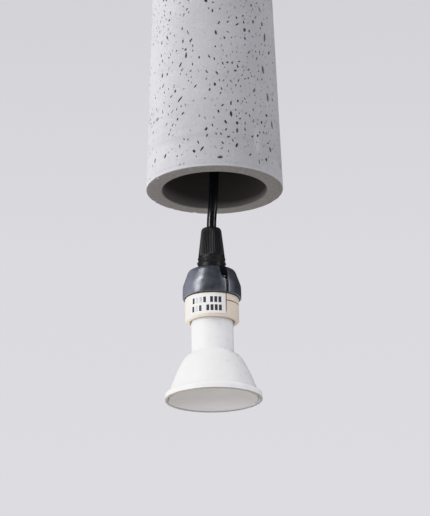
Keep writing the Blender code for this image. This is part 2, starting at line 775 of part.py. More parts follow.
def bulb_base(bulb):
    """The insulating plug in the neck and the two mushroom pins of the GU10 base."""
    flat = BULB_FLAT_END
    plug_radius = BULB_NECK_RADIUS - BULB_WALL - GAP
    plug = turned(
        "bulb_base",
        [
            (0, flat),
            (BULB_NECK_RADIUS - 0.4, flat),
            (BULB_NECK_RADIUS, flat - 0.4),
            (BULB_NECK_RADIUS, flat - 1.6),
            (plug_radius, flat - 1.6),
            (plug_radius, flat - 4.5),
            (0, flat - 4.5),
        ],
        "bulb_white",
        SEGMENTS_MEDIUM,
        parent=bulb,
    )
    for side, word in ((1, "live"), (-1, "neutral")):
        x = side * PIN_SPACING / 2
        cut(plug, drill("base_hole_" + word, 1.8, (x, 0, flat - 6), (x, 0, flat + 1), bulb))
        profile = [
            (0, 13.8),
            (2.1, 13.8),
            (2.5, 13.3),
            (2.5, 11.9),
            (1.5, 11.4),
            (1.5, flat - 5.6),
            (0, flat - 5.6),
        ]
        turned("pin_" + word, profile, "brass", parent=bulb, place=(x, 0, 0))


def bulb_optics(bulb):
    """The frosted lens, and the lit board on its heat spreader behind it."""
    turned(
        "bulb_lens",
        [(0, BULB_FACE + 0.2), (22.9, BULB_FACE + 0.2), (23.5, BULB_FACE + 0.6), (23.5, -38.9), (0, -38.9)],
        "lens_frosted",
        SEGMENTS_LARGE,
        parent=bulb,
    )
    turned(
        "heat_spreader",
        [(0, -33.4), (19.7, -33.4), (18.0, -29.4), (17.0, -29.4), (18.2, -32.2), (0, -32.2)],
        "aluminium",
        SEGMENTS_MEDIUM,
        parent=bulb,
    )
    board = [(0, -33.7), (17.5, -33.7), (17.5, -34.7), (0, -34.7)]
    turned("led_board", board, "board_white", SEGMENTS_MEDIUM, parent=bulb)
    for i in range(LED_COUNT):
        t = math.tau * i / LED_COUNT
        x, y = LED_RING_RADIUS * math.cos(t), LED_RING_RADIUS * math.sin(t)
        low, high = (x - 1.5, y - 1.5, -35.8), (x + 1.5, y + 1.5, -35.0)
        block(f"led_{i + 1}", low, high, "led_phosphor", bevel=0.2, parent=bulb)


def bulb_driver(bulb):
    """The driver in the neck: its board, smoothing capacitor and choke."""
    block("driver_board", (-7.5, -0.6, -25.0), (7.5, 0.6, 1.5), "circuit_board", parent=bulb)
    turned(
        "driver_capacitor",
        [(0, 4.5), (2.7, 4.5), (3.0, 4.1), (3.0, -4.5), (0, -4.5)],
        "component_black",
        parent=bulb,
        place=(-2.6, -4.2, -8.0),
    )
    turned(
        "driver_choke",
        [(0, 3.2), (3.1, 3.2), (3.1, 2.2), (2.3, 2.2), (2.3, -2.2), (3.1, -2.2), (3.1, -3.2), (0, -3.2)],
        "component_black",
        parent=bulb,
        place=(1.5, 4.4, -10.0),
    )


# --- the shade and its lock -----------------------------------------------------------------------
def shade_radius(height):
    """Outer radius of the shade at that height above its rim."""
    return RIM_RADIUS - SHADE_TAPER * height


def concrete_shade(shade):
    """The cast tube, tapering towards its closed top, with a hole for the threaded nipple."""
    edge = 0.8
    ceiling = SHADE_LENGTH - SHADE_TOP_THICKNESS
    profile = [(THREAD_HOLE + 0.4, SHADE_LENGTH), (shade_radius(SHADE_LENGTH) - edge * 1.5, SHADE_LENGTH)]
    profile.append((shade_radius(SHADE_LENGTH), SHADE_LENGTH - edge * 1.5))
    profile += [(RIM_RADIUS, edge * 0.6), (RIM_RADIUS - edge * 0.6, 0)]
    profile += [(RIM_RADIUS - RIM_WALL + edge * 0.5, 0), (RIM_RADIUS - RIM_WALL, edge * 0.5)]
    inner = shade_radius(ceiling) - RIM_WALL
    profile += [(inner, ceiling - 4), (inner - 1.2, ceiling - 1.2), (inner - 4, ceiling)]
    profile.append((THREAD_HOLE + 0.4, ceiling))
    turned("concrete_shade", profile, "concrete", SEGMENTS_LARGE, parent=shade)


def ring(name, inner, outer, low, high, material_name, parent, segments=20):
    turned(name, [(inner, high), (outer, high), (outer, low), (inner, low)], material_name, segments, parent=parent)


def shade_lock(shade):
    """A threaded nipple through the shade's top, its washers and nut, and the cable lock screwed to it."""
    top, ceiling = SHADE_LENGTH, SHADE_LENGTH - SHADE_TOP_THICKNESS
    ring("shade_nipple", 3.2, THREAD_RADIUS, ceiling - 9.5, top + 9.0, "zinc_steel", shade)
    ring("top_rubber_washer", THREAD_HOLE, 12.0, top + GAP, top + 1.8, "grey_rubber", shade)
    ring("top_steel_washer", THREAD_HOLE, 12.5, top + 2.1, top + 3.3, "black_metal", shade)
    ring("inner_washer", THREAD_HOLE, 11.0, ceiling - 1.7, ceiling - GAP, "zinc_steel", shade)
    nut_low, nut_high = ceiling - 7.5, ceiling - 2.0
    nut = prism("inner_nut", disc_outline(8.1, 6), nut_low, nut_high, "zinc_steel", parent=shade)
    hole = drill("inner_nut_hole", THREAD_HOLE, (0, 0, nut_low - 1), (0, 0, nut_high + 1), shade, segments=24)
    cut(nut, hole)
    turned(
        "lock_body",
        [
            (THREAD_HOLE, top + 3.6),
            (THREAD_HOLE, top + 9.4),
            (4.2, top + 10.2),
            (4.2, top + 17.4),
            (5.6, top + 17.4),
            (5.6, top + 12.6),
            (8.0, top + 12.2),
            (8.4, top + 11.6),
            (8.4, top + 4.2),
            (7.8, top + 3.6),
        ],
        "black_metal",
        20,
        parent=shade,
    )
    turned(
        "lock_collet",
        [(CABLE_BORE, top + 20.4), (3.4, top + 20.4), (3.9, top + 18.6), (3.9, top + 10.6), (CABLE_BORE, top + 10.6)],
        "black_plastic",
        20,
        parent=shade,
    )
    turned(
        "lock_nut",
        [
            (CABLE_BORE, top + LOCK_HEIGHT),
            (4.2, top + LOCK_HEIGHT),
            (5.4, top + LOCK_HEIGHT - 1.2),
            (7.6, top + 15.0),
            (7.6, top + 13.0),
            (5.9, top + 13.0),
            (5.9, top + 19.2),
            (4.2, top + 20.8),
            (CABLE_BORE, top + 22.2),
        ],
        "black_metal",
        20,
        parent=shade,
    )


def build():
    clear_scene()
    ceiling_bracket()
    canopy_cup()
    terminal_block()
    canopy_cord_grip()
    upper_cable()
    pendant = empty("pendant_axis", (0, 0, SWING_Y_Z))
    main_cable(pendant)
    holder = empty("holder_axis", (HOLDER_OFFSET_X, 0, RIM_Z))
    cord_grip_on_holder(holder)
    lampholder_cap(holder)
    socket_shells(holder)
    socket_insides(holder)
    rating_label(holder)
    bulb = empty("bulb_axis", (0, 0, BULB_SEAT_Z), parent=holder, lean=-BULB_LEAN)
    bulb_housing(bulb)
    bulb_base(bulb)
    bulb_optics(bulb)
    bulb_driver(bulb)
    shade = empty("shade_axis", (0, 0, RIM_Z))
    concrete_shade(shade)
    shade_lock(shade)


build()
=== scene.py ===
"""The looks of the pendant ceiling light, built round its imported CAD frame.

Pieces are drawn in millimetres, in the frame of what they belong to: the shade and the lampholder count
heights from the shade's rim, the bulb from its joint at the mouth of the socket, and the ceiling's pieces
from the ceiling. The front is -Y, and an azimuth runs from the front towards the right, in degrees.
"""

import json
import math
import random

import bmesh
import bpy
import numpy as np
from mathutils import Matrix, Vector, noise
from mathutils.geometry import delaunay_2d_cdt


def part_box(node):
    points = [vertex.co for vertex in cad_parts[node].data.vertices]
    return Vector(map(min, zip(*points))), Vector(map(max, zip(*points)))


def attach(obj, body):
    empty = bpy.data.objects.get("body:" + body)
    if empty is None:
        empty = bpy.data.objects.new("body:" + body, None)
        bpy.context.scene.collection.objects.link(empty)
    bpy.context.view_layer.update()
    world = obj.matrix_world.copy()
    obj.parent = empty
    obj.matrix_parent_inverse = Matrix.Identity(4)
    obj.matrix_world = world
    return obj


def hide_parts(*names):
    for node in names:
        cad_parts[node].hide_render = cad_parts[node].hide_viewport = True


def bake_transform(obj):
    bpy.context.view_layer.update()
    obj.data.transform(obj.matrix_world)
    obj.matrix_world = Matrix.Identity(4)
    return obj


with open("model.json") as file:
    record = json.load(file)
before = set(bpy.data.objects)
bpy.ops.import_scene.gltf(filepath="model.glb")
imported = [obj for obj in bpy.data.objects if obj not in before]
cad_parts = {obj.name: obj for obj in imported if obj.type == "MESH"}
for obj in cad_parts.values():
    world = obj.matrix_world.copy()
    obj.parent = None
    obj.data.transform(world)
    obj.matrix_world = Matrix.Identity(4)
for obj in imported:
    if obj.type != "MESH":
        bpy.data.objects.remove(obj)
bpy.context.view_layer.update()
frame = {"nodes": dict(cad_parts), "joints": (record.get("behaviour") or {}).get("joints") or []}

MM = 0.001
GAP = 0.3

# --- places and sizes taken from the frame --------------------------------------------------------


def box_mm(node):
    low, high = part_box(node)
    return Vector(low) / MM, Vector(high) / MM


SHADE_LOW, SHADE_HIGH = box_mm("concrete_shade")
CAP_LOW, CAP_HIGH = box_mm("lampholder_cap")
RIM_Z = SHADE_LOW.z
SHADE_LENGTH = SHADE_HIGH.z - SHADE_LOW.z
HOLDER_X = (CAP_LOW.x + CAP_HIGH.x) / 2
TWIST = next(joint for joint in frame["joints"] if joint["name"] == "bulb_twist")

CEILING = Matrix.Identity(4)
SHADE = Matrix.Translation((0, 0, RIM_Z))
HOLDER = Matrix.Translation((HOLDER_X, 0, RIM_Z))
BULB = (
    Matrix.Translation(Vector(TWIST["pos_m"]) / MM)
    @ Vector((0, 0, -1)).rotation_difference(Vector(TWIST["axis"])).to_matrix().to_4x4()
)

CABLE_RADIUS = 2.5
CABLE_BORE = 2.8
THREAD_RADIUS = 4.9
THREAD_HOLE = 5.2

CANOPY_RADIUS = 45.0
CANOPY_HEIGHT = 36.0
CANOPY_WALL = 1.2
SHEATH_END_Z = -24.0
CANOPY_EXIT_Z = -50.0
SWING_X_Z = -60.0
SECTION_JOIN_Z = -71.5
SWING_Y_Z = -80.0

RIM_RADIUS = 36.45
RIM_WALL = 8.65
SHADE_TAPER = 0.0325
SHADE_TOP_THICKNESS = 14.0
LOCK_HEIGHT = 25.0

GRIP_TOP = -21.5
GRIP_BOTTOM = -44.7
HOLDER_CABLE_END = -47.6
CAP_BOTTOM = -60.5
CAP_RADIUS = 15.3
WELL_AZIMUTH = 32.0
WELL_RING = 13.1  # the wells' middles lie that far from the axis
WELL_LEAD = 4.0  # and that many degrees before their slits
WELL_RADIUS = 2.2
WELL_FLOOR = -53.1
SLIT_HALF = 0.22
SOCKET_RADIUS = 14.0
SOCKET_BORE = 11.2
SOCKET_MOUTH = -73.3
SOCKET_SEAM = -64.5
SEAM_SPAN = 58.0
SCREW_AZIMUTHS = (WELL_AZIMUTH, WELL_AZIMUTH + 180)  # each stretch of the socket's seam starts there too
SEAM_ENDS = [start + reach for start in SCREW_AZIMUTHS for reach in (0, SEAM_SPAN)]

BULB_RADIUS = 25.0
NECK_RADIUS = 10.9
BULB_WALL = 1.3
BULB_FLAT_END = 8.0
BULB_FACE = -41.0

# --- materials -----------------------------------------------------------------------------------


def add_node(tree, kind, inputs=None, **settings):
    """A node of that kind. A value given for an input is set on it, and a socket is linked to it."""
    node = tree.nodes.new(kind)
    for key, value in settings.items():
        setattr(node, key, value)
    for key, value in (inputs or {}).items():
        if isinstance(value, bpy.types.NodeSocket):
            tree.links.new(value, node.inputs[key])
        else:
            node.inputs[key].default_value = value
    return node


class Finish:
    """A Principled material and short calls for the nodes that give it its detail."""

    def __init__(self, name, colour, roughness, metallic=0.0, **sockets):
        self.material = bpy.data.materials.new(name)
        self.material.use_nodes = True
        self.tree = self.material.node_tree
        self.shader = self.tree.nodes["Principled BSDF"]
        values = {"Base_Color": (*colour, 1.0), "Roughness": roughness, "Metallic": metallic, **sockets}
        for socket, value in values.items():
            self.shader.inputs[socket.replace("_", " ")].default_value = value
        self.place = self.add("ShaderNodeTexCoord").outputs["Object"]

    def add(self, kind, inputs=None, **settings):
        return add_node(self.tree, kind, inputs, **settings)

    def stretched(self, x, y, z):
        """The place, stretched by its own factor along each axis."""
        return self.add("ShaderNodeMapping", {"Vector": self.place, "Scale": (x, y, z)}).outputs["Vector"]

    def noise(self, size, detail=3.0, roughness=0.55, place=None):
        """Soft noise from 0 to 1 whose features are about that many millimetres across."""
        inputs = {"Scale": 1.0 / (size * MM), "Detail": detail, "Roughness": roughness}
        return self.add("ShaderNodeTexNoise", {"Vector": place or self.place, **inputs}).outputs["Fac"]

    def cells(self, size, feature="F1"):
        inputs = {"Vector": self.place, "Scale": 1.0 / (size * MM)}
        return self.add("ShaderNodeTexVoronoi", inputs, feature=feature).outputs

    def span(self, value, low, high, to_low=0.0, to_high=1.0, smooth=True):
        """The value's stretch from low to high, mapped to another stretch and clamped to it."""
        inputs = {"Value": value, "From Min": low, "From Max": high, "To Min": to_low, "To Max": to_high}
        kind = "SMOOTHSTEP" if smooth else "LINEAR"
        return self.add("ShaderNodeMapRange", inputs, interpolation_type=kind, clamp=True).outputs["Result"]

    def math(self, operation, *values):
        return self.add("ShaderNodeMath", dict(enumerate(values)), operation=operation).outputs["Value"]

    def product(self, first, *others):
        """Masks multiplied together."""
        for other in others:
            first = self.math("MULTIPLY", first, other)
        return first

    def band(self, value, start, full, end, gone):
        """1 from full to end, and falling away smoothly to start on one side and gone on the other."""
        return self.product(self.span(value, start, full), self.span(value, end, gone, 1.0, 0.0))

    def part(self, axis, start=0.0):
        """How many millimetres the place is past a start along an axis."""
        metres = self.add("ShaderNodeSeparateXYZ", {"Vector": self.place}).outputs[axis]
        return self.math("MULTIPLY_ADD", metres, 1.0 / MM, -start)

    def spread_from(self, x):
        """How many millimetres the place is from the upright line at x."""
        across, depth = self.part("X", x), self.part("Y")
        return self.math("SQRT", self.math("ADD", self.product(across, across), self.product(depth, depth)))

    def blend(self, factor, first, second):
        """Two colours mixed by a factor. Each is a colour or a socket."""
        node = self.add("ShaderNodeMix", data_type="RGBA")
        for index, value in ((0, factor), (6, first), (7, second)):
            if isinstance(value, bpy.types.NodeSocket):
                self.tree.links.new(value, node.inputs[index])
            elif index:
                node.inputs[index].default_value = (*value[:3], 1.0)
            else:
                node.inputs[index].default_value = value
        return node.outputs[2]

    def paint(self, colour):
        self.tree.links.new(colour, self.shader.inputs["Base Color"])

    def rough(self, value):
        self.tree.links.new(value, self.shader.inputs["Roughness"])

    def bump(self, height, depth, strength=1.0):
        """Relief from a 0 to 1 height, that many millimetres deep, on top of any relief already there."""
        inputs = {"Height": height, "Distance": depth * MM, "Strength": strength}
        socket = self.shader.inputs["Normal"]
        if socket.links:
            inputs["Normal"] = socket.links[0].from_socket
        self.tree.links.new(self.add("ShaderNodeBump", inputs).outputs["Normal"], socket)


def shade_of(colour, factor):
    return tuple(channel * factor for channel in colour)


def concrete_finish():
    """Cast concrete: sandy grain, soft clouding, pin-holes, faint level lines near the rim and a pale streak
    low on the right, with painted shade in the pits' hollows, on the rim's downward face and up the inside."""
    base = (0.42, 0.4175, 0.436)
    finish = Finish("concrete_cast", base, 0.85, Specular_IOR_Level=0.25)
    across, height = finish.part("X"), finish.part("Z", RIM_Z)
    cloud = finish.noise(26.0, 4.0, 0.6)
    patch = finish.noise(7.0, 3.0, 0.6)
    sand = finish.noise(0.45, 2.0, 0.7)
    grit = finish.noise(1.1, 3.0, 0.65)
    cast = finish.noise(9.0, 3.0, 0.6, place=finish.stretched(0.12, 0.12, 3.0))
    colour = finish.blend(finish.span(cloud, 0.3, 0.7), shade_of(base, 0.93), shade_of(base, 1.05))
    lines = finish.product(finish.span(cast, 0.5, 0.66), finish.span(height, 10, 60, 0.34, 0.0))
    for mask, factor in (
        (finish.span(patch, 0.35, 0.75, 0.0, 0.35), 0.9),
        (finish.span(sand, 0.35, 0.8, 0.0, 0.42), 0.62),
        (finish.span(grit, 0.45, 0.75, 0.0, 0.4), 0.8),
        (finish.span(grit, 0.45, 0.25, 0.0, 0.4), 1.16),
        (lines, 0.72),
    ):
        colour = finish.blend(mask, colour, shade_of(base, factor))
    in_front = finish.span(finish.part("Y"), -10, 0, 1.0, 0.0)
    streak = finish.product(finish.band(across, 20.5, 22, 22.5, 25), finish.band(height, 9, 13, 18, 30))
    streak = finish.product(streak, in_front, finish.span(patch, 0.2, 0.6, 0.2, 0.5))
    colour = finish.blend(streak, colour, (0.56, 0.56, 0.57))
    holes = finish.cells(2.1)
    hole = finish.span(holes["Distance"], 0.07, 0.13, 1.0, 0.0)
    pin = finish.product(hole, finish.span(holes["Color"], 0.45, 0.5, smooth=False))
    colour = finish.blend(finish.product(pin, 0.55), colour, (0.16, 0.155, 0.16))

    skin = finish.math("MULTIPLY_ADD", height, -SHADE_TAPER, RIM_RADIUS)
    under_skin = finish.math("SUBTRACT", skin, finish.spread_from(0.0))
    below_top_face = finish.span(height, SHADE_LENGTH - 1.5, SHADE_LENGTH - 1.0, 0.88, 0.0)
    # Painted shade: the hollows of the pits are darkened.
    pit_shade = finish.product(finish.span(under_skin, 0.1, 0.7), below_top_face)
    colour = finish.blend(pit_shade, colour, (0.085, 0.083, 0.085))
    edge = finish.span(height, 0.9, 1.5, 0.7, 0.0)
    colour = finish.blend(edge, colour, shade_of(base, 1.06))
    # Painted shade: the rim's downward face is darker and warmer, with a grain of its own.
    grain = finish.span(finish.noise(2.2, 4.0, 0.7), 0.3, 0.75)
    rim_shade = finish.blend(grain, (0.163, 0.155, 0.141), (0.23, 0.22, 0.20))
    colour = finish.blend(finish.span(height, 0.1, 0.5, 1.0, 0.0), colour, rim_shade)
    below_ceiling = finish.span(height, SHADE_LENGTH - 6, SHADE_LENGTH - 4, 1.0, 0.0)
    inside = finish.product(finish.span(under_skin, RIM_WALL - 0.5, RIM_WALL - 0.1), below_ceiling)
    # Painted light and shade up the inside: pale near the rim, reaching higher on the left where light comes
    # in, and dark further in.
    lit_reach = finish.span(across, -30, 12, 9, 4.5)
    inside_shade = finish.span(finish.math("DIVIDE", height, lit_reach), 0.1, 1.0)
    inside_shade_colour = finish.blend(inside_shade, (0.12, 0.114, 0.108), (0.035, 0.032, 0.029))
    finish.paint(finish.blend(inside, colour, inside_shade_colour))
    finish.rough(finish.span(sand, 0.2, 0.8, 0.78, 0.95))
    finish.bump(sand, 0.06, 0.5)
    finish.bump(finish.noise(1.6, 4.0, 0.65), 0.10, 0.5)
    finish.bump(finish.span(cloud, 0.2, 0.8), 0.5, 0.35)
    finish.bump(finish.math("SUBTRACT", 1.0, pin), 0.25, 0.8)
    return finish.material


def cable_finish():
    """Glossy black PVC sheath with faint waviness from the extruder."""
    finish = Finish("cable_pvc", (0.003, 0.003, 0.0045), 0.2, IOR=1.6)
    wave = finish.noise(6.0, 2.0, 0.5)
    finish.rough(finish.span(finish.noise(1.4, 3.0), 0.3, 0.7, 0.15, 0.22))
    finish.bump(wave, 0.05, 0.3)
    return finish.material


def moulded_finish(name, colour, roughness, grain=0.35, depth=0.02, **sockets):
    """Moulded plastic: a faint grain and a slightly uneven gloss."""
    finish = Finish(name, colour, roughness, **sockets)
    clouds = finish.noise(5.0, 4.0, 0.6)
    finish.paint(finish.blend(finish.span(clouds, 0.3, 0.7), shade_of(colour, 0.92), shade_of(colour, 1.06)))
    gloss = finish.noise(2.4, 4.0, 0.6)
    finish.rough(finish.span(gloss, 0.25, 0.75, roughness * 0.85, min(1.0, roughness * 1.18)))
    finish.bump(finish.noise(grain, 2.0, 0.6), depth, 0.5)
    finish.bump(finish.noise(9.0, 2.0, 0.5), 0.15, 0.25)
    return finish.material


def cap_finish():
    """Dark satin cover with bluish haze, finger marks and fine rubbed scratches round it, and a painted
    highlight that lightens its left side.
    """
    base = (0.017, 0.020, 0.028)
    finish = Finish("cap_satin", base, 0.32, IOR=2.2, Specular_Tint=(0.9, 0.94, 1.0, 1.0))
    haze = finish.noise(4.5, 5.0, 0.65)
    rubbed = finish.noise(3.0, 4.0, 0.7, place=finish.stretched(0.5, 0.5, 5.0))
    colour = finish.blend(finish.span(haze, 0.35, 0.7), base, (0.034, 0.040, 0.052))
    colour = finish.blend(finish.span(rubbed, 0.55, 0.8, 0.0, 0.4), colour, (0.10, 0.11, 0.125))
    # Painted highlight: the left side is lightened and blued, standing for the sheen of the light there.
    left = finish.span(finish.part("X", HOLDER_X), -13, -4, 0.85, 0.0)
    colour = finish.blend(left, colour, (0.15, 0.158, 0.195))
    finish.paint(colour)
    finish.rough(finish.span(haze, 0.3, 0.7, 0.25, 0.38))
    finish.bump(finish.noise(0.5, 3.0, 0.6), 0.02, 0.5)
    finish.bump(rubbed, 0.05, 0.4)
    finish.bump(finish.noise(8.0, 2.0, 0.5), 0.16, 0.3)
    return finish.material


def metal_finish(name, colour, roughness, brushed=(1.0, 1.0, 1.0)):
    """Plated or turned metal with fine tool marks and a little tarnish."""
    finish = Finish(name, colour, roughness, 1.0)
    marks = finish.noise(0.4, 3.0, 0.6, place=finish.stretched(*brushed))
    tarnish = finish.noise(4.0, 4.0, 0.6)
    finish.paint(finish.blend(finish.span(tarnish, 0.35, 0.75), colour, shade_of(colour, 0.78)))
    finish.rough(finish.span(marks, 0.25, 0.75, roughness * 0.8, min(1.0, roughness * 1.3)))
    finish.bump(marks, 0.015, 0.5)
    return finish.material


def socket_finish():
    """Cream plastic with fine upright mould lines, and painted shade: dark brown in its upright grooves and
    round its mouth, where it meets the bulb.
    """
    base = (0.735, 0.645, 0.53)
    finish = Finish("socket_cream", base, 0.42)
    clouds = finish.noise(5.0, 4.0, 0.6)
    colour = finish.blend(finish.span(clouds, 0.3, 0.7), shade_of(base, 0.94), shade_of(base, 1.04))
    lines = finish.noise(1.0, 2.0, 0.5, place=finish.stretched(1.0, 1.0, 0.06))
    colour = finish.blend(finish.span(lines, 0.5, 0.8, 0.0, 0.25), colour, (0.52, 0.40, 0.28))
    spread = finish.spread_from(HOLDER_X)
    # Painted shade: the upright grooves are darkened brown above the mouth.
    groove = finish.span(spread, SOCKET_RADIUS - 0.4, SOCKET_RADIUS - 0.12, 1.0, 0.0)
    above_mouth = finish.span(finish.part("Z", RIM_Z + SOCKET_MOUTH), 1.3, 1.8)
    colour = finish.blend(finish.product(groove, above_mouth), colour, (0.20, 0.12, 0.07))
    # Painted shade: a dark brown band round the mouth, where the socket meets the bulb.
    mouth = finish.span(spread, SOCKET_BORE + 0.1, SOCKET_BORE + 1.3, 0.9, 0.0)
    colour = finish.blend(mouth, colour, (0.24, 0.13, 0.06))
    finish.paint(colour)
    finish.rough(finish.span(finish.noise(2.4, 4.0, 0.6), 0.25, 0.75, 0.36, 0.5))
    finish.bump(finish.noise(0.4, 2.0, 0.6), 0.03, 0.5)
    finish.bump(lines, 0.05, 0.4)
    return finish.material


def painted_finish():
    """Black powder paint on steel, with its fine orange-peel texture."""
    finish = Finish("powder_black", (0.017, 0.017, 0.019), 0.42, Specular_IOR_Level=0.5)
    peel = finish.noise(0.8, 2.0, 0.5)
    finish.rough(finish.span(finish.noise(7.0, 4.0, 0.6), 0.3, 0.7, 0.36, 0.5))
    finish.bump(peel, 0.05, 0.5)
    return finish.material


def bulb_finish():
    """White glazed plastic of the bulb's shell, with painted shade as a brownish line round the lower edge of
    its lip.
    """
    base = (0.91, 0.91, 0.91)
    depth = {"Subsurface_Weight": 0.3, "Subsurface_Scale": 0.012, "Subsurface_Radius": (1.0, 1.0, 1.0)}
    finish = Finish("bulb_shell_white", base, 0.3, Specular_IOR_Level=0.45, **depth)
    clouds = finish.noise(9.0, 3.0, 0.5)
    colour = finish.blend(finish.span(clouds, 0.3, 0.7), shade_of(base, 0.985), shade_of(base, 1.01))
    face = TWIST["pos_m"][2] / MM + BULB_FACE
    # Painted shade: a brownish line round the lower edge of the lip.
    edge = finish.span(finish.part("Z", face), 0.5, 0.8, 0.95, 0.0)
    finish.paint(finish.blend(edge, colour, (0.25, 0.225, 0.185)))
    finish.rough(finish.span(finish.noise(3.0, 3.0, 0.6), 0.3, 0.7, 0.26, 0.36))
    finish.bump(finish.noise(0.9, 2.0, 0.5), 0.004, 0.3)
    return finish.material


def lens_finish():
    """Frosted plastic lens, matt and a little warm, with painted light making it paler towards the back and
    painted shade as a dark brown ring in the groove at its edge.
    """
    base = (0.50, 0.478, 0.445)
    finish = Finish("lens_frost", base, 0.55, Specular_IOR_Level=0.35)
    frost = finish.noise(0.5, 2.0, 0.6)
    clouds = finish.span(finish.noise(11.0, 3.0, 0.5), 0.3, 0.7)
    colour = finish.blend(clouds, shade_of(base, 0.95), shade_of(base, 1.01))
    # Painted light: the lens is paler towards the back.
    back = finish.span(finish.part("Y"), 0, 21, 0.0, 0.8)
    colour = finish.blend(back, colour, (0.625, 0.61, 0.597))
    centre = BULB @ Vector((0, 0, BULB_FACE))
    # Painted shade: a dark brown ring in the groove at the lens's edge.
    edge = finish.span(finish.spread_from(centre.x), 22.9, 23.2, 0.0, 0.8)
    finish.paint(finish.blend(edge, colour, (0.30, 0.275, 0.24)))
    finish.rough(finish.span(frost, 0.3, 0.7, 0.48, 0.62))
    finish.bump(frost, 0.03, 0.5)
    return finish.material


def board_finish():
    """Green solder mask with its copper tracks showing through as lighter lines."""
    base = (0.02, 0.16, 0.07)
    finish = Finish("board_green", base, 0.4)
    tracks = finish.cells(3.2, feature="DISTANCE_TO_EDGE")
    line = finish.span(tracks["Distance"], 0.03, 0.07, 1.0, 0.0)
    finish.paint(finish.blend(line, base, (0.06, 0.30, 0.13)))
    finish.bump(line, 0.03, 0.5)
    return finish.material


def fine_finish(name, colour, roughness, size, contrast, depth, **sockets):
    """A fired, coated or cut surface: one grain size in both its colour and its relief."""
    finish = Finish(name, colour, roughness, **sockets)
    grain = finish.noise(size, 3.0, 0.65)
    dark, light = shade_of(colour, 1 - contrast), shade_of(colour, 1 + contrast)
    finish.paint(finish.blend(finish.span(grain, 0.3, 0.7), dark, light))
    finish.rough(finish.span(grain, 0.3, 0.7, roughness * 0.88, min(1.0, roughness * 1.12)))
    finish.bump(grain, depth, 0.5)
    return finish.material


FINISHES = {
    "concrete": concrete_finish(),
    "black_metal": painted_finish(),
    "zinc_steel": metal_finish("zinc_plate", (0.58, 0.60, 0.63), 0.34, (1.0, 6.0, 1.0)),
    "brass": metal_finish("turned_brass", (0.78, 0.57, 0.27), 0.3, (6.0, 1.0, 1.0)),
    "aluminium": metal_finish("spun_aluminium", (0.74, 0.75, 0.77), 0.33, (1.0, 1.0, 6.0)),
    "black_plastic": moulded_finish(
        "nut_black", (0.008, 0.008, 0.009), 0.4, grain=0.3, depth=0.02, Specular_IOR_Level=0.3
    ),
    "cap_plastic": cap_finish(),
    "cable_sheath": cable_finish(),
    "brown_core": moulded_finish("core_brown", (0.16, 0.06, 0.03), 0.4),
    "blue_core": moulded_finish("core_blue", (0.03, 0.12, 0.42), 0.4),
    "grey_rubber": fine_finish("washer_rubber", (0.045, 0.045, 0.047), 0.8, 0.5, 0.25, 0.05),
    "cream_plastic": socket_finish(),
    "steatite": fine_finish("core_steatite", (0.80, 0.78, 0.73), 0.45, 0.6, 0.06, 0.03),
    "label_paper": fine_finish("sticker_white", (0.77, 0.755, 0.75), 0.5, 0.8, 0.02, 0.01),
    "bulb_white": bulb_finish(),
    "lens_frosted": lens_finish(),
    "circuit_board": board_finish(),
    "board_white": fine_finish("board_white_coat", (0.80, 0.80, 0.80), 0.5, 1.2, 0.04, 0.02),
    "led_phosphor": fine_finish("led_yellow", (0.85, 0.62, 0.12), 0.4, 0.25, 0.08, 0.01),
    "component_black": fine_finish("component_sleeve", (0.02, 0.02, 0.021), 0.38, 0.4, 0.15, 0.01),
}
INK = fine_finish("sticker_ink", (0.028, 0.028, 0.03), 0.55, 0.4, 0.25, 0.005)
# Near-black finish for the cut walls of the screw wells and slits: painted shade inside them.
WELL_SHADE = fine_finish("painted_well_shade", (0.006, 0.006, 0.007), 0.8, 0.5, 0.3, 0.01, Specular_IOR_Level=0.1)
WORN_INK = fine_finish("sticker_ink_worn", (0.42, 0.42, 0.43), 0.55, 0.5, 0.35, 0.005)

# --- modelling tools -----------------------------------------------------------------------------


def stand(name, vertices, faces, place, body, slot, replaced, smooth_angle=35.0):
    """Makes the piece from millimetres in its own frame, and sets it on its body with its finish."""
    mesh = bpy.data.meshes.new(name)
    mesh.from_pydata([tuple(v) for v in vertices], [], [tuple(f) for f in faces])
    mesh.validate()
    mesh.transform(Matrix.Scale(MM, 4) @ place)
    mesh.shade_smooth()
    mesh.set_sharp_from_angle(angle=math.radians(smooth_angle))
    mesh.materials.append(FINISHES[slot])
    piece = bpy.data.objects.new(name, mesh)
    bpy.context.scene.collection.objects.link(piece)
    if body:
        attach(piece, body)
    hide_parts(*replaced)
    return piece


def azimuth_point(azimuth, radius):
    t = math.radians(azimuth)
    return radius * math.sin(t), -radius * math.cos(t)


def rounded(corners, steps=4):
    """A closed profile of (radius, height, fillet) corners, with each fillet as an arc."""
    profile = []
    for i, (r, z, fillet) in enumerate(corners):
        here = Vector((r, z))
        if fillet == 0:
            profile.append((r, z))
            continue
        before = (Vector(corners[i - 1][:2]) - here).normalized()
        after = (Vector(corners[(i + 1) % len(corners)][:2]) - here).normalized()
        half = before.angle(after) / 2
        reach = fillet / math.tan(half)
        centre = here + (before + after).normalized() * fillet / math.sin(half)
        first = (here + before * reach - centre).normalized()
        last = (here + after * reach - centre).normalized()
        for k in range(steps + 1):
            profile.append(tuple(centre + first.slerp(last, k / steps) * fillet))
    return profile


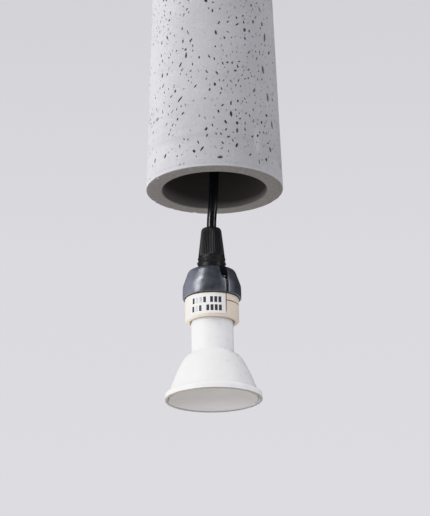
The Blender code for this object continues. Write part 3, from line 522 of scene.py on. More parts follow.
def lathe(profile, segments=96, shape=None, azimuths=None):
    """Vertices and faces of a profile of (radius, height) turned about Z. The profile is closed on itself,
    unless it starts and ends on the axis. shape(radius, height, azimuth, index) may give each point its own
    (radius, height)."""
    azimuths = azimuths or [360.0 * k / segments for k in range(segments)]
    count = len(azimuths)
    vertices, faces, rows = [], [], []
    for index, (radius, height) in enumerate(profile):
        if radius < 1e-6:
            rows.append([len(vertices)] * count)
            vertices.append((0.0, 0.0, height))
            continue
        row = []
        for azimuth in azimuths:
            r, z = shape(radius, height, azimuth, index) if shape else (radius, height)
            row.append(len(vertices))
            vertices.append((*azimuth_point(azimuth, r), z))
        rows.append(row)
    if profile[0][0] > 1e-6:
        rows.append(rows[0])
    for above, below in zip(rows, rows[1:]):
        for k in range(count):
            n = (k + 1) % count
            corner = [above[k], above[n], below[n], below[k]]
            corner = [v for i, v in enumerate(corner) if v != corner[i - 1]]
            if len(set(corner)) > 2:
                faces.append(corner)
    return vertices, faces


def facing_out(vertices, faces):
    """The faces in the winding that makes the closed body's volume positive."""
    volume = 0.0
    points = [Vector(v) for v in vertices]
    for face in faces:
        for a, b in zip(face[1:], face[2:]):
            volume += points[face[0]].dot(points[a].cross(points[b]))
    return faces if volume > 0 else [face[::-1] for face in faces]


def turned(name, profile, place, body, slot, replaced, segments=96, shape=None, azimuths=None, smooth=35.0):
    """A piece made by turning a profile."""
    vertices, faces = lathe(profile, segments, shape, azimuths)
    return stand(name, vertices, facing_out(vertices, faces), place, body, slot, replaced, smooth)


def applied(piece):
    """Makes the piece's modifiers part of its mesh."""
    graph = bpy.context.evaluated_depsgraph_get()
    mesh = bpy.data.meshes.new_from_object(piece.evaluated_get(graph))
    piece.modifiers.clear()
    piece.data = mesh
    return piece


def carved(piece, cutters, smooth_angle=35.0, inner=None):
    """Cuts closed shapes, given as (vertices, faces) in world metres, out of the piece. The cut faces may
    have a material of their own."""
    guides = []
    if inner:
        piece.data.materials.append(inner)
    for vertices, faces in cutters:
        mesh = bpy.data.meshes.new("guide")
        mesh.from_pydata(vertices, [], facing_out(vertices, faces))
        if inner:
            mesh.materials.append(piece.data.materials[0])
            mesh.materials.append(inner)
            mesh.polygons.foreach_set("material_index", [1] * len(mesh.polygons))
        guide = bpy.data.objects.new("guide", mesh)
        bpy.context.scene.collection.objects.link(guide)
        step = piece.modifiers.new("cut", "BOOLEAN")
        step.operation = "DIFFERENCE"
        step.solver = "EXACT"
        step.object = guide
        guides.append(guide)
    applied(piece)
    for guide in guides:
        bpy.data.objects.remove(guide)
    piece.data.shade_smooth()
    piece.data.set_sharp_from_angle(angle=math.radians(smooth_angle))
    return piece


def prism_cutter(outline, low, high, place):
    """A closed prism over an outline in XY, in world metres."""
    count = len(outline)
    points = [Vector((x, y, z)) for z in (low, high) for x, y in outline]
    vertices = [tuple(place @ point * MM) for point in points]
    faces = [tuple(range(count)), tuple(range(2 * count - 1, count - 1, -1))]
    faces += [(i, i + count, (i + 1) % count + count, (i + 1) % count) for i in range(count)]
    return vertices, faces


def disc_outline(radius, count, centre=(0.0, 0.0)):
    turns = [math.tau * i / count for i in range(count)]
    return [(centre[0] + radius * math.cos(t), centre[1] + radius * math.sin(t)) for t in turns]


def turn_off(azimuth, middle):
    """The turn from the middle to the azimuth, from -180 to 180 degrees."""
    return (azimuth - middle + 180) % 360 - 180


def bulge(distance, width):
    """A smooth hump, 1 at distance 0 and 0 beyond the width."""
    return 0.5 + 0.5 * math.cos(math.pi * min(1.0, abs(distance) / width))


# --- the cable -----------------------------------------------------------------------------------


def smooth_route(points, spacing):
    """Points about that far apart on one smooth curve through the given ones."""
    ends = [Vector(p) for p in points]
    ends = [2 * ends[0] - ends[1], *ends, 2 * ends[-1] - ends[-2]]
    route = [ends[1]]
    for a, b, c, d in zip(ends, ends[1:], ends[2:], ends[3:]):
        steps = max(1, round((c - b).length / spacing))
        for i in range(1, steps + 1):
            t = i / steps
            bend = (2 * a - 5 * b + 4 * c - d) * t**2 + (3 * b - a - 3 * c + d) * t**3
            route.append(0.5 * (2 * b + (c - a) * t + bend))
    return route


def cable_tube(name, route, body, replaced):
    """A round tube along a route in millimetres that runs mostly straight down."""
    sides = 28
    vertices, faces = [], []
    for i, point in enumerate(route):
        along = (route[min(i + 1, len(route) - 1)] - route[max(i - 1, 0)]).normalized()
        right = Vector((0, 1, 0)).cross(along).normalized()
        front = along.cross(right)
        for k in range(sides):
            t = math.tau * k / sides
            vertices.append(point + CABLE_RADIUS * (right * math.cos(t) + front * math.sin(t)))
    for i in range(len(route) - 1):
        for k in range(sides):
            n = (k + 1) % sides
            faces.append((i * sides + k, i * sides + n, (i + 1) * sides + n, (i + 1) * sides + k))
    last = (len(route) - 1) * sides
    faces.append(tuple(range(sides))[::-1])
    faces.append(tuple(last + k for k in range(sides)))
    return stand(name, vertices, facing_out(vertices, faces), CEILING, body, "cable_sheath", replaced)


def cables():
    """The upper stretch hangs out of the canopy's grip, and the main one runs on down to the lampholder.
    They meet between the two axes that the cable swings about."""
    upper = smooth_route([(0, 0, SHEATH_END_Z), (0, 0, -40), (0, 0, -56), (0, 0, SECTION_JOIN_Z)], 1.5)
    drop = RIM_Z - SWING_Y_Z
    x = HOLDER_X
    below_swing = [
        (0, 0, 0),
        (0, 0, (drop + 45) / 3),
        (0, 0, (drop + 45) * 2 / 3),
        (0, 0, drop + 45),
        (0, 0, drop + 22),
        (x * 0.1, 0, drop + 8),
        (x * 0.42, 0, drop - 6),
        (x * 0.85, 0, drop - 16),
        (x, 0, drop - 27),
        (x, 0, drop - 37),
        (x, 0, drop + HOLDER_CABLE_END),
    ]
    joined = Vector((0, 0, SECTION_JOIN_Z))
    main = smooth_route([joined] + [Vector(p) + Vector((0, 0, SWING_Y_Z)) for p in below_swing], 2.0)
    upper_piece = cable_tube("canopy_cable", upper, None, ["cable_anchor_section", "cable_bend_section"])
    main_piece = cable_tube("main_cable", main, None, ["cable_main"])
    for piece, above, below, hinge in (
        (upper_piece, "ceiling_mount", "cable_bend", SWING_X_Z),
        (main_piece, "cable_bend", "pendant", SWING_Y_Z),
    ):
        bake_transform(piece)


# --- the concrete shade --------------------------------------------------------------------------

PIT_SEED = 41
PIT_SIZES = [(1.9, 260), (1.5, 1200), (1.15, 3900), (0.85, 3200), (0.55, 900)]  # middle size, bubbles tried
RIM_FILLET = 0.7
RIM_STEPS = 288  # points round each end of the shade
GRID = 3.4  # spacing of the plain surface's points
HALF_TURN = math.pi * RIM_RADIUS  # the surface unrolled reaches this far each way from the front


def shade_radius(height):
    return RIM_RADIUS - SHADE_TAPER * height


class Pit:
    """A hole left by an air bubble: an irregular outline on the unrolled surface, and its depth."""

    def __init__(self, s, h, length, width, tilt, depth, rng):
        self.s, self.h = s, h
        self.reach = max(length, width) / 2
        self.depth = depth
        count = max(6, min(16, round(3 + math.pi * (length + width) / 2 / 0.62)))
        swings = [(k, rng.uniform(0, math.tau), rng.gauss(0, 0.16 / k)) for k in (2, 3, 4, 5)]
        lean = math.radians(tilt)
        self.outline = []
        for i in range(count):
            t = math.tau * (i + rng.uniform(-0.18, 0.18)) / count
            uneven = 1 + sum(size * math.cos(k * t + phase) for k, phase, size in swings)
            a = length / 2 * math.cos(t) * uneven
            b = width / 2 * math.sin(t) * uneven
            along, up = math.cos(lean), math.sin(lean)
            self.outline.append((s + a * along - b * up, h + a * up + b * along))
        self.deepest = (s + rng.uniform(-0.12, 0.12) * width, h + rng.uniform(-0.12, 0.12) * width)

    def ring(self, scale):
        cs, ch = self.deepest
        return [(cs + (s - cs) * scale, ch + (h - ch) * scale) for s, h in self.outline]


# Marks that stand out: azimuth, height over the rim, length, width, tilt from the horizontal.
LANDMARKS = [
    (30, 80, 2.6, 1.8, 70),
    (30, 75, 2.0, 1.3, 110),
    (35, 80, 1.8, 1.2, 90),
    (55, 80, 5.5, 2.0, 80),
    (50, 60, 5.0, 1.9, 100),
    (55, 45, 5.5, 1.9, 95),
    (10, 25, 2.6, 1.3, 120),
    (20, 25, 2.2, 1.5, 60),
    (60, 30, 5.0, 1.8, 95),
    (55, 15, 2.8, 2.0, 80),
    (75, 10, 4.0, 2.6, 100),
    (5, 5, 3.4, 1.4, 0),
    (-10, 10, 3.0, 1.1, 55),
    (-30, 40, 4.5, 1.0, 45),
    (-30, 60, 3.2, 1.1, 60),
    (-45, 10, 2.6, 1.3, 60),
]

# Where pits gather or are few: azimuth, height, half-sizes of the zone in each, and the change in density.
ZONES = [
    (34, 45, 28, 28, 2.6),
    (40, 80, 24, 18, 2.0),
    (-42, 55, 24, 50, 0.7),
    (-8, 78, 12, 22, -1.6),
    (-4, 36, 14, 9, -1.2),
    (-5, 5, 35, 5, -0.8),
    (-60, 40, 16, 16, -0.4),
]


def pit_density(azimuth, height):
    """How thick the pits lie there, about 1 on average."""
    wander = noise.noise(Vector((azimuth * 0.045, height * 0.07, 3.7)))
    density = 1.0 + 1.1 * wander
    for middle, level, half_width, half_height, change in ZONES:
        off = ((azimuth - middle) / half_width) ** 2 + ((height - level) / half_height) ** 2
        density += change * math.exp(-off)
    return max(0.04, density)


def scattered_pits():
    """The marks that stand out, then bubbles of all sizes scattered by density, none touching."""
    rng = random.Random(PIT_SEED)
    pits = []
    cell = 4.0
    taken = {}

    def fits(s, h, reach):
        column, row = int(s // cell), int(h // cell)
        for i in (column - 1, column, column + 1):
            for j in (row - 1, row, row + 1):
                for other in taken.get((i, j), ()):
                    if math.hypot(other.s - s, other.h - h) < (other.reach + reach) * 1.18 + 0.15:
                        return False
        return True

    def keep(pit):
        pits.append(pit)
        taken.setdefault((int(pit.s // cell), int(pit.h // cell)), []).append(pit)

    for azimuth, height, length, width, tilt in LANDMARKS:
        keep(Pit(math.radians(azimuth) * RIM_RADIUS, height, length, width, tilt, 1.0, rng))
    for middle, count in PIT_SIZES:
        for _ in range(count):
            s = rng.uniform(-HALF_TURN, HALF_TURN)
            h = rng.uniform(RIM_FILLET, SHADE_LENGTH - RIM_FILLET)
            azimuth = math.degrees(s / RIM_RADIUS)
            if rng.random() * 2.4 > pit_density(azimuth, h):
                continue
            size = middle * rng.uniform(0.8, 1.25)
            stretch = 1.3 + abs(rng.gauss(0, 0.9))
            length, width = size * math.sqrt(stretch), size / math.sqrt(stretch)
            margin = length / 2 * 1.25 + 0.6
            inside = RIM_FILLET + margin < h < SHADE_LENGTH - RIM_FILLET - margin
            if not inside or abs(s) > HALF_TURN - margin or not fits(s, h, length / 2):
                continue
            tilt = rng.gauss(82, 30)
            depth = 0.12 + width * rng.uniform(0.08, 0.85)
            keep(Pit(s, h, length, width, tilt, depth, rng))
    return pits


def unrolled_surface(pits):
    """Triangles of the shade's outside between its pits, and each pit's outline as point numbers.
    The two ends and the seam at the back have evenly spaced points, so that they can be joined."""
    rng = random.Random(PIT_SEED + 1)
    low, high = RIM_FILLET, SHADE_LENGTH - RIM_FILLET
    points, loops = [], []
    for pit in pits:
        loops.append(list(range(len(points), len(points) + len(pit.outline))))
        points += pit.outline
    sides = round((high - low) / 3.0)
    edge = [(-HALF_TURN + 2 * HALF_TURN * i / RIM_STEPS, low) for i in range(RIM_STEPS)]
    edge += [(HALF_TURN, low + (high - low) * i / sides) for i in range(sides)]
    edge += [(HALF_TURN - 2 * HALF_TURN * i / RIM_STEPS, high) for i in range(RIM_STEPS)]
    edge += [(-HALF_TURN, high - (high - low) * i / sides) for i in range(sides)]
    first = len(points)
    points += edge
    border = [(first + i, first + (i + 1) % len(edge)) for i in range(len(edge))]
    columns, rows = int(2 * HALF_TURN / GRID), int((high - low) / (GRID * 0.87))
    near = {}
    for pit in pits:
        near.setdefault((int(pit.s // 6), int(pit.h // 6)), []).append(pit)
    for j in range(1, rows):
        for i in range(columns):
            s = -HALF_TURN + GRID * (i + 0.75 + 0.5 * (j % 2)) + rng.uniform(-0.5, 0.5)
            h = low + (high - low) * j / rows + rng.uniform(-0.5, 0.5)
            if abs(s) > HALF_TURN - 1.2 or not low + 1.0 < h < high - 1.0:
                continue
            keys = [(int(s // 6) + a, int(h // 6) + b) for a in (-1, 0, 1) for b in (-1, 0, 1)]
            around = [pit for key in keys for pit in near.get(key, ())]
            if all(math.hypot(p.s - s, p.h - h) > p.reach * 1.3 + 0.5 for p in around):
                points.append((s, h))
    corners = [Vector(point) for point in points]
    placed, _, triangles, origins, _, owners = delaunay_2d_cdt(corners, border, loops, 0, 1e-5, True)
    number = {}
    for new, olds in enumerate(origins):
        for old in olds:
            number[old] = new
    plain = [tuple(face) for face, owner in zip(triangles, owners) if not owner]
    return placed, plain, [[number[old] for old in loop] for loop in loops]


def rolled(s, h, depth=0.0):
    """A point of the unrolled outside, or that far under it, on the real shade."""
    x, y = azimuth_point(math.degrees(s / RIM_RADIUS), shade_radius(h) - depth)
    return (x, y, h)


def hollow_pits(vertices, faces, pits, loops):
    """Adds each pit's walls and bottom inside its outline, as rings that shrink and sink."""
    rng = random.Random(PIT_SEED + 2)
    for pit, outer in zip(pits, loops):
        count = len(outer)
        for scale, share in ((0.88, 0.6), (0.62, 0.95)) if pit.reach > 0.8 else ((0.72, 0.9),):
            inner = list(range(len(vertices), len(vertices) + count))
            for s, h in pit.ring(scale):
                vertices.append(rolled(s, h, pit.depth * share * rng.uniform(0.85, 1.12)))
            for k in range(count):
                n = (k + 1) % count
                faces.append((outer[k], outer[n], inner[n], inner[k]))
            outer = inner
        bottom = len(vertices)
        vertices.append(rolled(*pit.deepest, pit.depth))
        for k in range(count):
            faces.append((outer[k], outer[(k + 1) % count], bottom))


def rim_wear():
    """How far the rim's edge is chipped back, as a function of the azimuth."""
    rng = random.Random(PIT_SEED + 3)
    chips = [(rng.uniform(-180, 180), rng.uniform(1.0, 2.6), rng.uniform(0.08, 0.3)) for _ in range(26)]
    chips += [(-58, 2.4, 0.9), (63, 1.6, 0.45), (20, 1.4, 0.4)]

    def worn(azimuth):
        ragged = 0.05 * (1 + noise.noise(Vector((azimuth * 0.35, 1.3, 0.0))))
        return ragged + sum(depth * bulge(turn_off(azimuth, middle), half) for middle, half, depth in chips)

    return worn


def close_shade(vertices, faces, flat):
    """Adds the worn rim, the inside, its ceiling and the top face as rings between the outside's two ends."""
    step = 2 * HALF_TURN / RIM_STEPS
    worn = rim_wear()

    def edge_ring(level):
        """The surface's own points along one of its ends, in order from the back through the left."""
        on_edge = {}
        for index, (s, h) in enumerate(flat):
            if abs(h - level) < 1e-4:
                on_edge[round((s + HALF_TURN) / step) % RIM_STEPS] = index
        return [on_edge[k] for k in range(RIM_STEPS)]

    def ring(radius, height, wear=0.0, lift=0.0):
        row = []
        for k in range(RIM_STEPS):
            azimuth = math.degrees((-HALF_TURN + step * k) / RIM_RADIUS)
            loss = worn(azimuth) if wear or lift else 0.0
            uneven = 0.06 * noise.noise(Vector((azimuth * 0.2, radius * 0.6, height * 0.4)))
            x, y = azimuth_point(azimuth, radius - wear * loss + uneven)
            row.append(len(vertices))
            vertices.append((x, y, height + lift * loss))
        return row

    def arc(radius, height, side, end, turn):
        """A point of the fillet at a corner. It lies towards the axis for side 1, and upwards for end 1."""
        a = math.radians(turn)
        return radius - side * RIM_FILLET * (1 - math.cos(a)), height + end * RIM_FILLET * (1 - math.sin(a))

    inner_radius = RIM_RADIUS - RIM_WALL
    ceiling = SHADE_LENGTH - SHADE_TOP_THICKNESS
    ceiling_radius = shade_radius(ceiling) - RIM_WALL
    top_radius = shade_radius(SHADE_LENGTH)
    hole = THREAD_HOLE + 0.4
    rows = [edge_ring(RIM_FILLET)]
    for turn, wear, lift in ((25, 0.5, 0.2), (50, 1.0, 0.6), (70, 0.9, 1.0), (90, 0.3, 0.9)):
        rows.append(ring(*arc(RIM_RADIUS, 0.0, 1, 1, turn), wear, lift))
    flat_width = RIM_WALL - 2 * RIM_FILLET
    rows += [ring(RIM_RADIUS - RIM_FILLET - flat_width * share, 0.0) for share in (0.25, 0.5, 0.75)]
    rows += [ring(*arc(inner_radius, 0.0, -1, 1, turn)) for turn in (90, 60, 30, 0)]
    for height in (4, 12, 30, 60, 100, 150, 200, 250, ceiling - 4):
        rows.append(ring(inner_radius + (ceiling_radius - inner_radius) * height / ceiling, height))
    for radius, height in (
        (ceiling_radius - 1.2, ceiling - 1.2),
        (ceiling_radius - 4, ceiling),
        (12.0, ceiling),
        (hole, ceiling),
        (hole, SHADE_LENGTH - 0.4),
        (hole + 0.4, SHADE_LENGTH),
        (14.0, SHADE_LENGTH),
        (top_radius - RIM_FILLET - 2, SHADE_LENGTH),
    ):
        rows.append(ring(radius, height))
    rows += [ring(*arc(top_radius, SHADE_LENGTH, 1, -1, turn)) for turn in (90, 60, 30)]
    rows.append(edge_ring(SHADE_LENGTH - RIM_FILLET))
    for above, below in zip(rows, rows[1:]):
        for k in range(RIM_STEPS):
            n = (k + 1) % RIM_STEPS
            faces.append((above[k], above[n], below[n], below[k]))


def shade_mesh(vertices, faces, plain_count):
    """The shade's mesh, welded along its back. Its plain faces, which come first, get a true cone's normals,
    so that the pits leave no dents round them."""
    mesh = bpy.data.meshes.new("concrete_skin")
    mesh.from_pydata(vertices, [], faces)
    weld = bmesh.new()
    weld.from_mesh(mesh)
    plain_layer = weld.faces.layers.int.new("plain")
    weld.faces.ensure_lookup_table()
    for index in range(plain_count):
        weld.faces[index][plain_layer] = 1
    bmesh.ops.remove_doubles(weld, verts=weld.verts, dist=0.004)
    bmesh.ops.recalc_face_normals(weld, faces=weld.faces)
    weld.to_mesh(mesh)
    weld.free()
    mesh.transform(Matrix.Scale(MM, 4) @ SHADE)
    mesh.shade_smooth()
    mesh.set_sharp_from_angle(angle=math.radians(38))
    flags = np.zeros(len(mesh.polygons), dtype=np.int32)
    mesh.attributes["plain"].data.foreach_get("value", flags)
    normals = np.zeros((len(mesh.loops), 3))
    slope = Vector((1, SHADE_TAPER)).normalized()
    for polygon in mesh.polygons:
        if not flags[polygon.index]:
            continue
        for loop in polygon.loop_indices:
            x, y, _ = mesh.vertices[mesh.loops[loop].vertex_index].co
            away = math.hypot(x, y)
            normals[loop] = (x / away * slope.x, y / away * slope.x, slope.y)
    mesh.attributes.remove(mesh.attributes["plain"])
    mesh.normals_split_custom_set([tuple(n) for n in normals])
    mesh.materials.append(FINISHES["concrete"])
    return mesh


def concrete_shade():
    """The cast tube, with every pit on its outside."""
    pits = scattered_pits()
    flat, faces, loops = unrolled_surface(pits)
    plain_count = len(faces)
    vertices = [rolled(s, h) for s, h in flat]
    hollow_pits(vertices, faces, pits, loops)
    close_shade(vertices, faces, flat)
    piece = bpy.data.objects.new("concrete_skin", shade_mesh(vertices, faces, plain_count))
    bpy.context.scene.collection.objects.link(piece)
    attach(piece, "shade")
    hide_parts("concrete_shade")


# --- the lampholder ------------------------------------------------------------------------------


def cone_nut():
    """The cord grip's nut: a cone with fine upright ribs, two uneven ridges and a plain collar."""
    ribs = 40
    top_radius, bottom_radius = 5.2, 7.5

    def cone(z):
        return top_radius + (bottom_radius - top_radius) * (GRIP_TOP - z) / (GRIP_TOP + 42.0)

    outside = [(3.6, GRIP_TOP), (4.2, GRIP_TOP - 0.05), (4.8, GRIP_TOP - 0.3), (5.15, GRIP_TOP - 0.8)]
    outside += [(cone(z), z) for z in (-23.0, -23.6, -25.5, -28, -31, -34, -36.4, -37.3)]
    ridges = [(-37.8, -0.12), (-38.2, 0.10), (-38.7, 0.18), (-39.1, 0.0), (-39.5, -0.3), (-39.9, -0.34)]
    ridges += [(-40.3, -0.1), (-40.6, 0.22), (-41.0, 0.28), (-41.3, 0.1), (-41.7, -0.35), (-42.2, -0.42)]
    outside += [(cone(z) + step, z) for z, step in ridges]
    outside += [(7.2, -42.8), (7.2, GRIP_BOTTOM + 0.1), (7.1, GRIP_BOTTOM)]
    inside = [(THREAD_HOLE, GRIP_BOTTOM), (THREAD_HOLE, -27.5), (CABLE_BORE + 0.6, -24.2)]
    inside += [(CABLE_BORE, -23.5), (CABLE_BORE, GRIP_TOP)]

    def ribbed(radius, height, azimuth, index):
        if index >= len(outside):
            return radius, height
        if -37.4 < height < -22.6:
            start = min(1.0, (-22.6 - height) / 0.8)
            wave = math.cos(math.radians(azimuth) * ribs)
            radius += 0.28 * start * (0.5 + 0.5 * wave) ** 0.6 - 0.28 * start
        if -42.0 < height < -37.6:
            sway = 0.7 * math.cos(math.radians((azimuth - 10) * 3))
            sway += 0.3 * math.sin(math.radians(azimuth * 7))
            height += 0.6 * sway * bulge(height + 40.2, 2.4)
            radius += 0.06 * math.sin(math.radians(azimuth * 9 + height * 90))
        return radius, height

    at = HOLDER, "pendant", "black_plastic"
    turned("cone_nut", outside + inside, *at, ["grip_nut"], ribs * 8, ribbed, smooth=50)


def cap_cover():
    """The dark domed cover, with two screw wells and an open slit that runs down from each."""
    spigot_top, shoulder = -33.0, GRIP_BOTTOM - GAP
    shape = [(8.8, -45.0), (11.4, -45.4), (12.4, -46.2), (13.0, -47.5), (13.5, -49.0)]
    shape += [(14.3, -51.2), (15.0, -53.3), (15.25, -54.8), (15.3, -57.5)]
    dome = [(p.x, p.y) for p in smooth_route([Vector((r, z, 0)) for r, z in shape], 0.7)]
    outside = [(CABLE_BORE, spigot_top), (THREAD_RADIUS - 0.3, spigot_top), (THREAD_RADIUS, spigot_top - 0.3)]
    outside += [(THREAD_RADIUS, shoulder), (7.6, shoulder)]
    outside += dome
    outside += [(CAP_RADIUS - inset, CAP_BOTTOM + up) for inset, up in ((0, 0.35), (0.1, 0.1), (0.3, 0))]
    inside = [(14.35, CAP_BOTTOM), (14.3, CAP_BOTTOM + 0.1), (13.5, -53.7), (9.6, -53.7), (9.6, -49.8)]
    inside += [(7.2, -46.9), (CABLE_BORE, -46.9)]

    def worn(radius, height, azimuth, index):
        """The moulding is a little uneven, and rolls in towards each slit."""
        if not len(outside) - len(dome) - 3 <= index < len(outside):
            return radius, height
        near = max(bulge(turn_off(azimuth, middle), 5.0) for middle in SCREW_AZIMUTHS)
        uneven = 0.10 * noise.noise(Vector((*azimuth_point(azimuth, 1.6), height * 0.12)))
        return radius - 0.28 * near**2 + uneven, height

    at = HOLDER, "pendant", "cap_plastic"
    cover = turned("cap_cover", outside + inside, *at, ["lampholder_cap"], 200, worn)
    cutters = []
    for azimuth in SCREW_AZIMUTHS:
        well = disc_outline(WELL_RADIUS, 28, azimuth_point(azimuth - WELL_LEAD, WELL_RING))
        cutters.append(prism_cutter(well, WELL_FLOOR, -40.0, HOLDER))
        aim = HOLDER @ Matrix.Rotation(math.radians(azimuth - 90), 4, "Z")
        slit = [(12.9, -SLIT_HALF), (17, -SLIT_HALF), (17, SLIT_HALF), (12.9, SLIT_HALF)]
        cutters.append(prism_cutter(slit, CAP_BOTTOM - 2, -49.5, aim))
    # The cut walls of the wells and slits are painted near black, as shade.
    carved(cover, cutters, inner=WELL_SHADE)


def in_seam(azimuth):
    """Whether the socket's upper ring shows at that azimuth."""
    return any((azimuth - start) % 360 < SEAM_SPAN for start in SCREW_AZIMUTHS)


def socket_azimuths(step):
    """Even azimuths with extra ones close round the seam's four ends."""
    close = [(end + d) % 360 for end in SEAM_ENDS for d in (-1.5, -1.0, -0.5, -0.05, 0.05, 0.5, 1.0, 1.5)]
    even = [k * step for k in range(round(360 / step))]
    clear = [a for a in even if all(abs(turn_off(a, end)) > 2.0 for end in SEAM_ENDS)]
    return sorted(clear + close)


def socket():
    """The cream socket in two parts: the lower shell, and the upper ring that shows in two stretches."""
    ring_radius, ring_bore = 13.0, 10.2
    top = CAP_BOTTOM - GAP
    seam_low, seam_high = SOCKET_SEAM - 0.25, SOCKET_SEAM + 0.25
    groove_depth = 0.55

    def dent(azimuth):
        """The upright groove moulded at each end of the seam."""
        return max(bulge(turn_off(azimuth, end), 1.5) for end in SEAM_ENDS)

    lower = [
        (SOCKET_BORE, seam_low, 0.0),
        (ring_radius + GAP, seam_low, 0.0),
        (ring_radius + GAP, top, 0.0),
        (SOCKET_RADIUS, top, 0.25),
        (SOCKET_RADIUS, SOCKET_MOUTH, 0.9),
        (SOCKET_BORE, SOCKET_MOUTH, 0.5),
    ]
    profile = rounded(lower)
    dense = []
    for i, point in enumerate(profile):
        dense.append(point)
        after = profile[(i + 1) % len(profile)]
        if point[0] == after[0] == SOCKET_RADIUS or abs(point[1] - after[1]) > 6:
            for share in (0.25, 0.5, 0.75):
                dense.append(tuple(Vector(point).lerp(Vector(after), share)))

    def lower_shape(radius, height, azimuth, index):
        if in_seam(azimuth) and height > seam_low and radius > ring_radius:
            height = seam_low - (0.0 if height > top - 0.01 else min(0.25, (top - height) * 0.02))
        if radius > SOCKET_RADIUS - 0.8 and SOCKET_MOUTH + 1.2 < height:
            radius -= groove_depth * dent(azimuth)
            for start in SCREW_AZIMUTHS:
                after = (azimuth - start) % 360
                if 2 < after < SEAM_SPAN - 2 and height < seam_low - 0.4:
                    radius += 0.05 * math.cos(math.radians(after * 90)) - 0.05
        return radius, height

    at = HOLDER, "pendant", "cream_plastic"
    points = socket_azimuths(1.0)
    turned("socket_lower_shell", dense, *at, ["socket_shell_lower"], shape=lower_shape, azimuths=points)
    upper = rounded(
        [
            (ring_bore, -54.0, 0.0),
            (ring_radius, -54.0, 0.3),
            (ring_radius, top, 0.0),
            (SOCKET_RADIUS, top, 0.2),
            (SOCKET_RADIUS, seam_high, 0.15),
            (ring_bore, seam_high, 0.0),
        ]
    )

    def upper_shape(radius, height, azimuth, index):
        if not in_seam(azimuth):
            return min(radius, ring_radius), height
        if radius > ring_radius:
            radius -= groove_depth * dent(azimuth)
        return radius, height

    points = socket_azimuths(1.5)
    turned("socket_upper_ring", upper, *at, ["socket_ring_upper"], shape=upper_shape, azimuths=points)


def sticker():
    """The rating sticker: thin white paper with two rows of plain dark bars where the print goes."""
    inner = SOCKET_RADIUS + 0.12
    outer = inner + 0.12
    first, last, low, high = -52.0, 29.0, -72.1, -61.4
    rows = [(-66.4, -63.2), (-70.8, -67.6)]
    words = [[(-45, 4), (-4, 3)], [(-46, 3), (-12, 4)]]
    bar, space = 6.2, 2.6
    marks = []
    for (bottom, top), groups in zip(rows, words):
        for start, count in groups:
            for k in range(count):
                begin = start + k * (bar + space)
                worn = (start, k) in ((-45, 1), (-45, 2), (-46, 1))
                marks.append((begin, begin + bar, bottom, top, 2 if worn else 1))
    azimuths = {first + (last - first) * k / 40 for k in range(41)}
    azimuths |= {edge for mark in marks for edge in mark[:2]}
    azimuths = sorted(azimuths)
    heights = sorted({low, high} | {edge for mark in marks for edge in mark[2:4]})
    vertices, faces, printed = [], [], []
    for radius in (outer, inner):
        for z in heights:
            vertices += [(*azimuth_point(a, radius), z) for a in azimuths]
    across, up = len(azimuths), len(heights)
    back = across * up
    for j in range(up - 1):
        for i in range(across - 1):
            a = j * across + i
            faces.append((a, a + 1, a + 1 + across, a + across))
            middle_a = (azimuths[i] + azimuths[i + 1]) / 2
            middle_z = (heights[j] + heights[j + 1]) / 2
            inked = [m[4] for m in marks if m[0] < middle_a < m[1] and m[2] < middle_z < m[3]]
            printed.append(inked[0] if inked else 0)
            faces.append((back + a + across, back + a + across + 1, back + a + 1, back + a))
            printed.append(0)
    rim = list(range(across)) + [j * across + across - 1 for j in range(1, up)]
    rim += [(up - 1) * across + i for i in range(across - 2, -1, -1)]
    rim += [j * across for j in range(up - 2, 0, -1)]
    for a, b in zip(rim, rim[1:] + rim[:1]):
        faces.append((a, back + a, back + b, b))
        printed.append(0)
    faces = facing_out(vertices, faces)
    paper = stand("sticker", vertices, faces, HOLDER, "pendant", "label_paper", ["rating_label"])
    paper.data.materials.append(INK)
    paper.data.materials.append(WORN_INK)
    for polygon, ink in zip(paper.data.polygons, printed):
        polygon.material_index = ink


# --- the bulb ------------------------------------------------------------------------------------


def bell_point(t):
    """Outside of the bell, from the throat at 0 to the lens end at 1."""
    return 13.3 + (22.6 - 13.3) * t, -17.6 - 18.4 * t**1.42


def bulb_shell():
    """The white shell: the straight neck, the bell and the lip that holds the lens."""
    top = BULB_FLAT_END - 1.9
    neck_low = -14.6
    bell = [bell_point(k / 24) for k in range(25)]
    blend = []
    for k in range(1, 8):
        t = k / 8
        start, end = Vector((NECK_RADIUS, neck_low)), Vector(bell[0])
        bend = Vector((NECK_RADIUS, neck_low - 1.6))
        blend.append(tuple(start * (1 - t) ** 2 + bend * 2 * t * (1 - t) + end * t**2))
    neck = [(NECK_RADIUS, z) for z in (top - 0.2, 2, -4, -9, neck_low)]
    lip = [(23.4, -36.9, 0.0), (BULB_RADIUS - 0.1, -37.7, 0.5), (BULB_RADIUS + 0.1, BULB_FACE, 0.4)]
    lip += [(24.0, BULB_FACE, 0.2), (23.9, -38.5, 0.0), (22.2, -38.5, 0.0)]
    inside = [(r - BULB_WALL, z) for r, z in reversed(bell[::3])]
    inside += [(NECK_RADIUS - BULB_WALL, -15.3), (NECK_RADIUS - BULB_WALL, top)]
    profile = [(NECK_RADIUS - 0.2, top)] + neck + blend + bell + rounded(lip, 5) + inside
    turned("bulb_shell", profile, BULB, "bulb", "bulb_white", ["bulb_housing"], 144, smooth=40)


def front_lens():
    """The frosted lens, dished in a little, with a stepped edge where the lip holds it."""
    face = BULB_FACE + 0.3
    profile = [(r, face + 1.9 * (1 - (r / 22.8) ** 2)) for r in (0, 3, 6, 9, 12, 14, 16, 18, 20, 21.5, 22.6)]
    profile += [(22.9, face + 0.1), (23.2, face + 0.7), (23.55, face + 0.7)]
    profile += [(23.55, -38.9), (21.0, -38.9), (0.0, -38.9)]
    turned("front_lens", profile, BULB, "bulb", "lens_frosted", ["bulb_lens"], 144)


# --- the canopy and the lock ---------------------------------------------------------------------


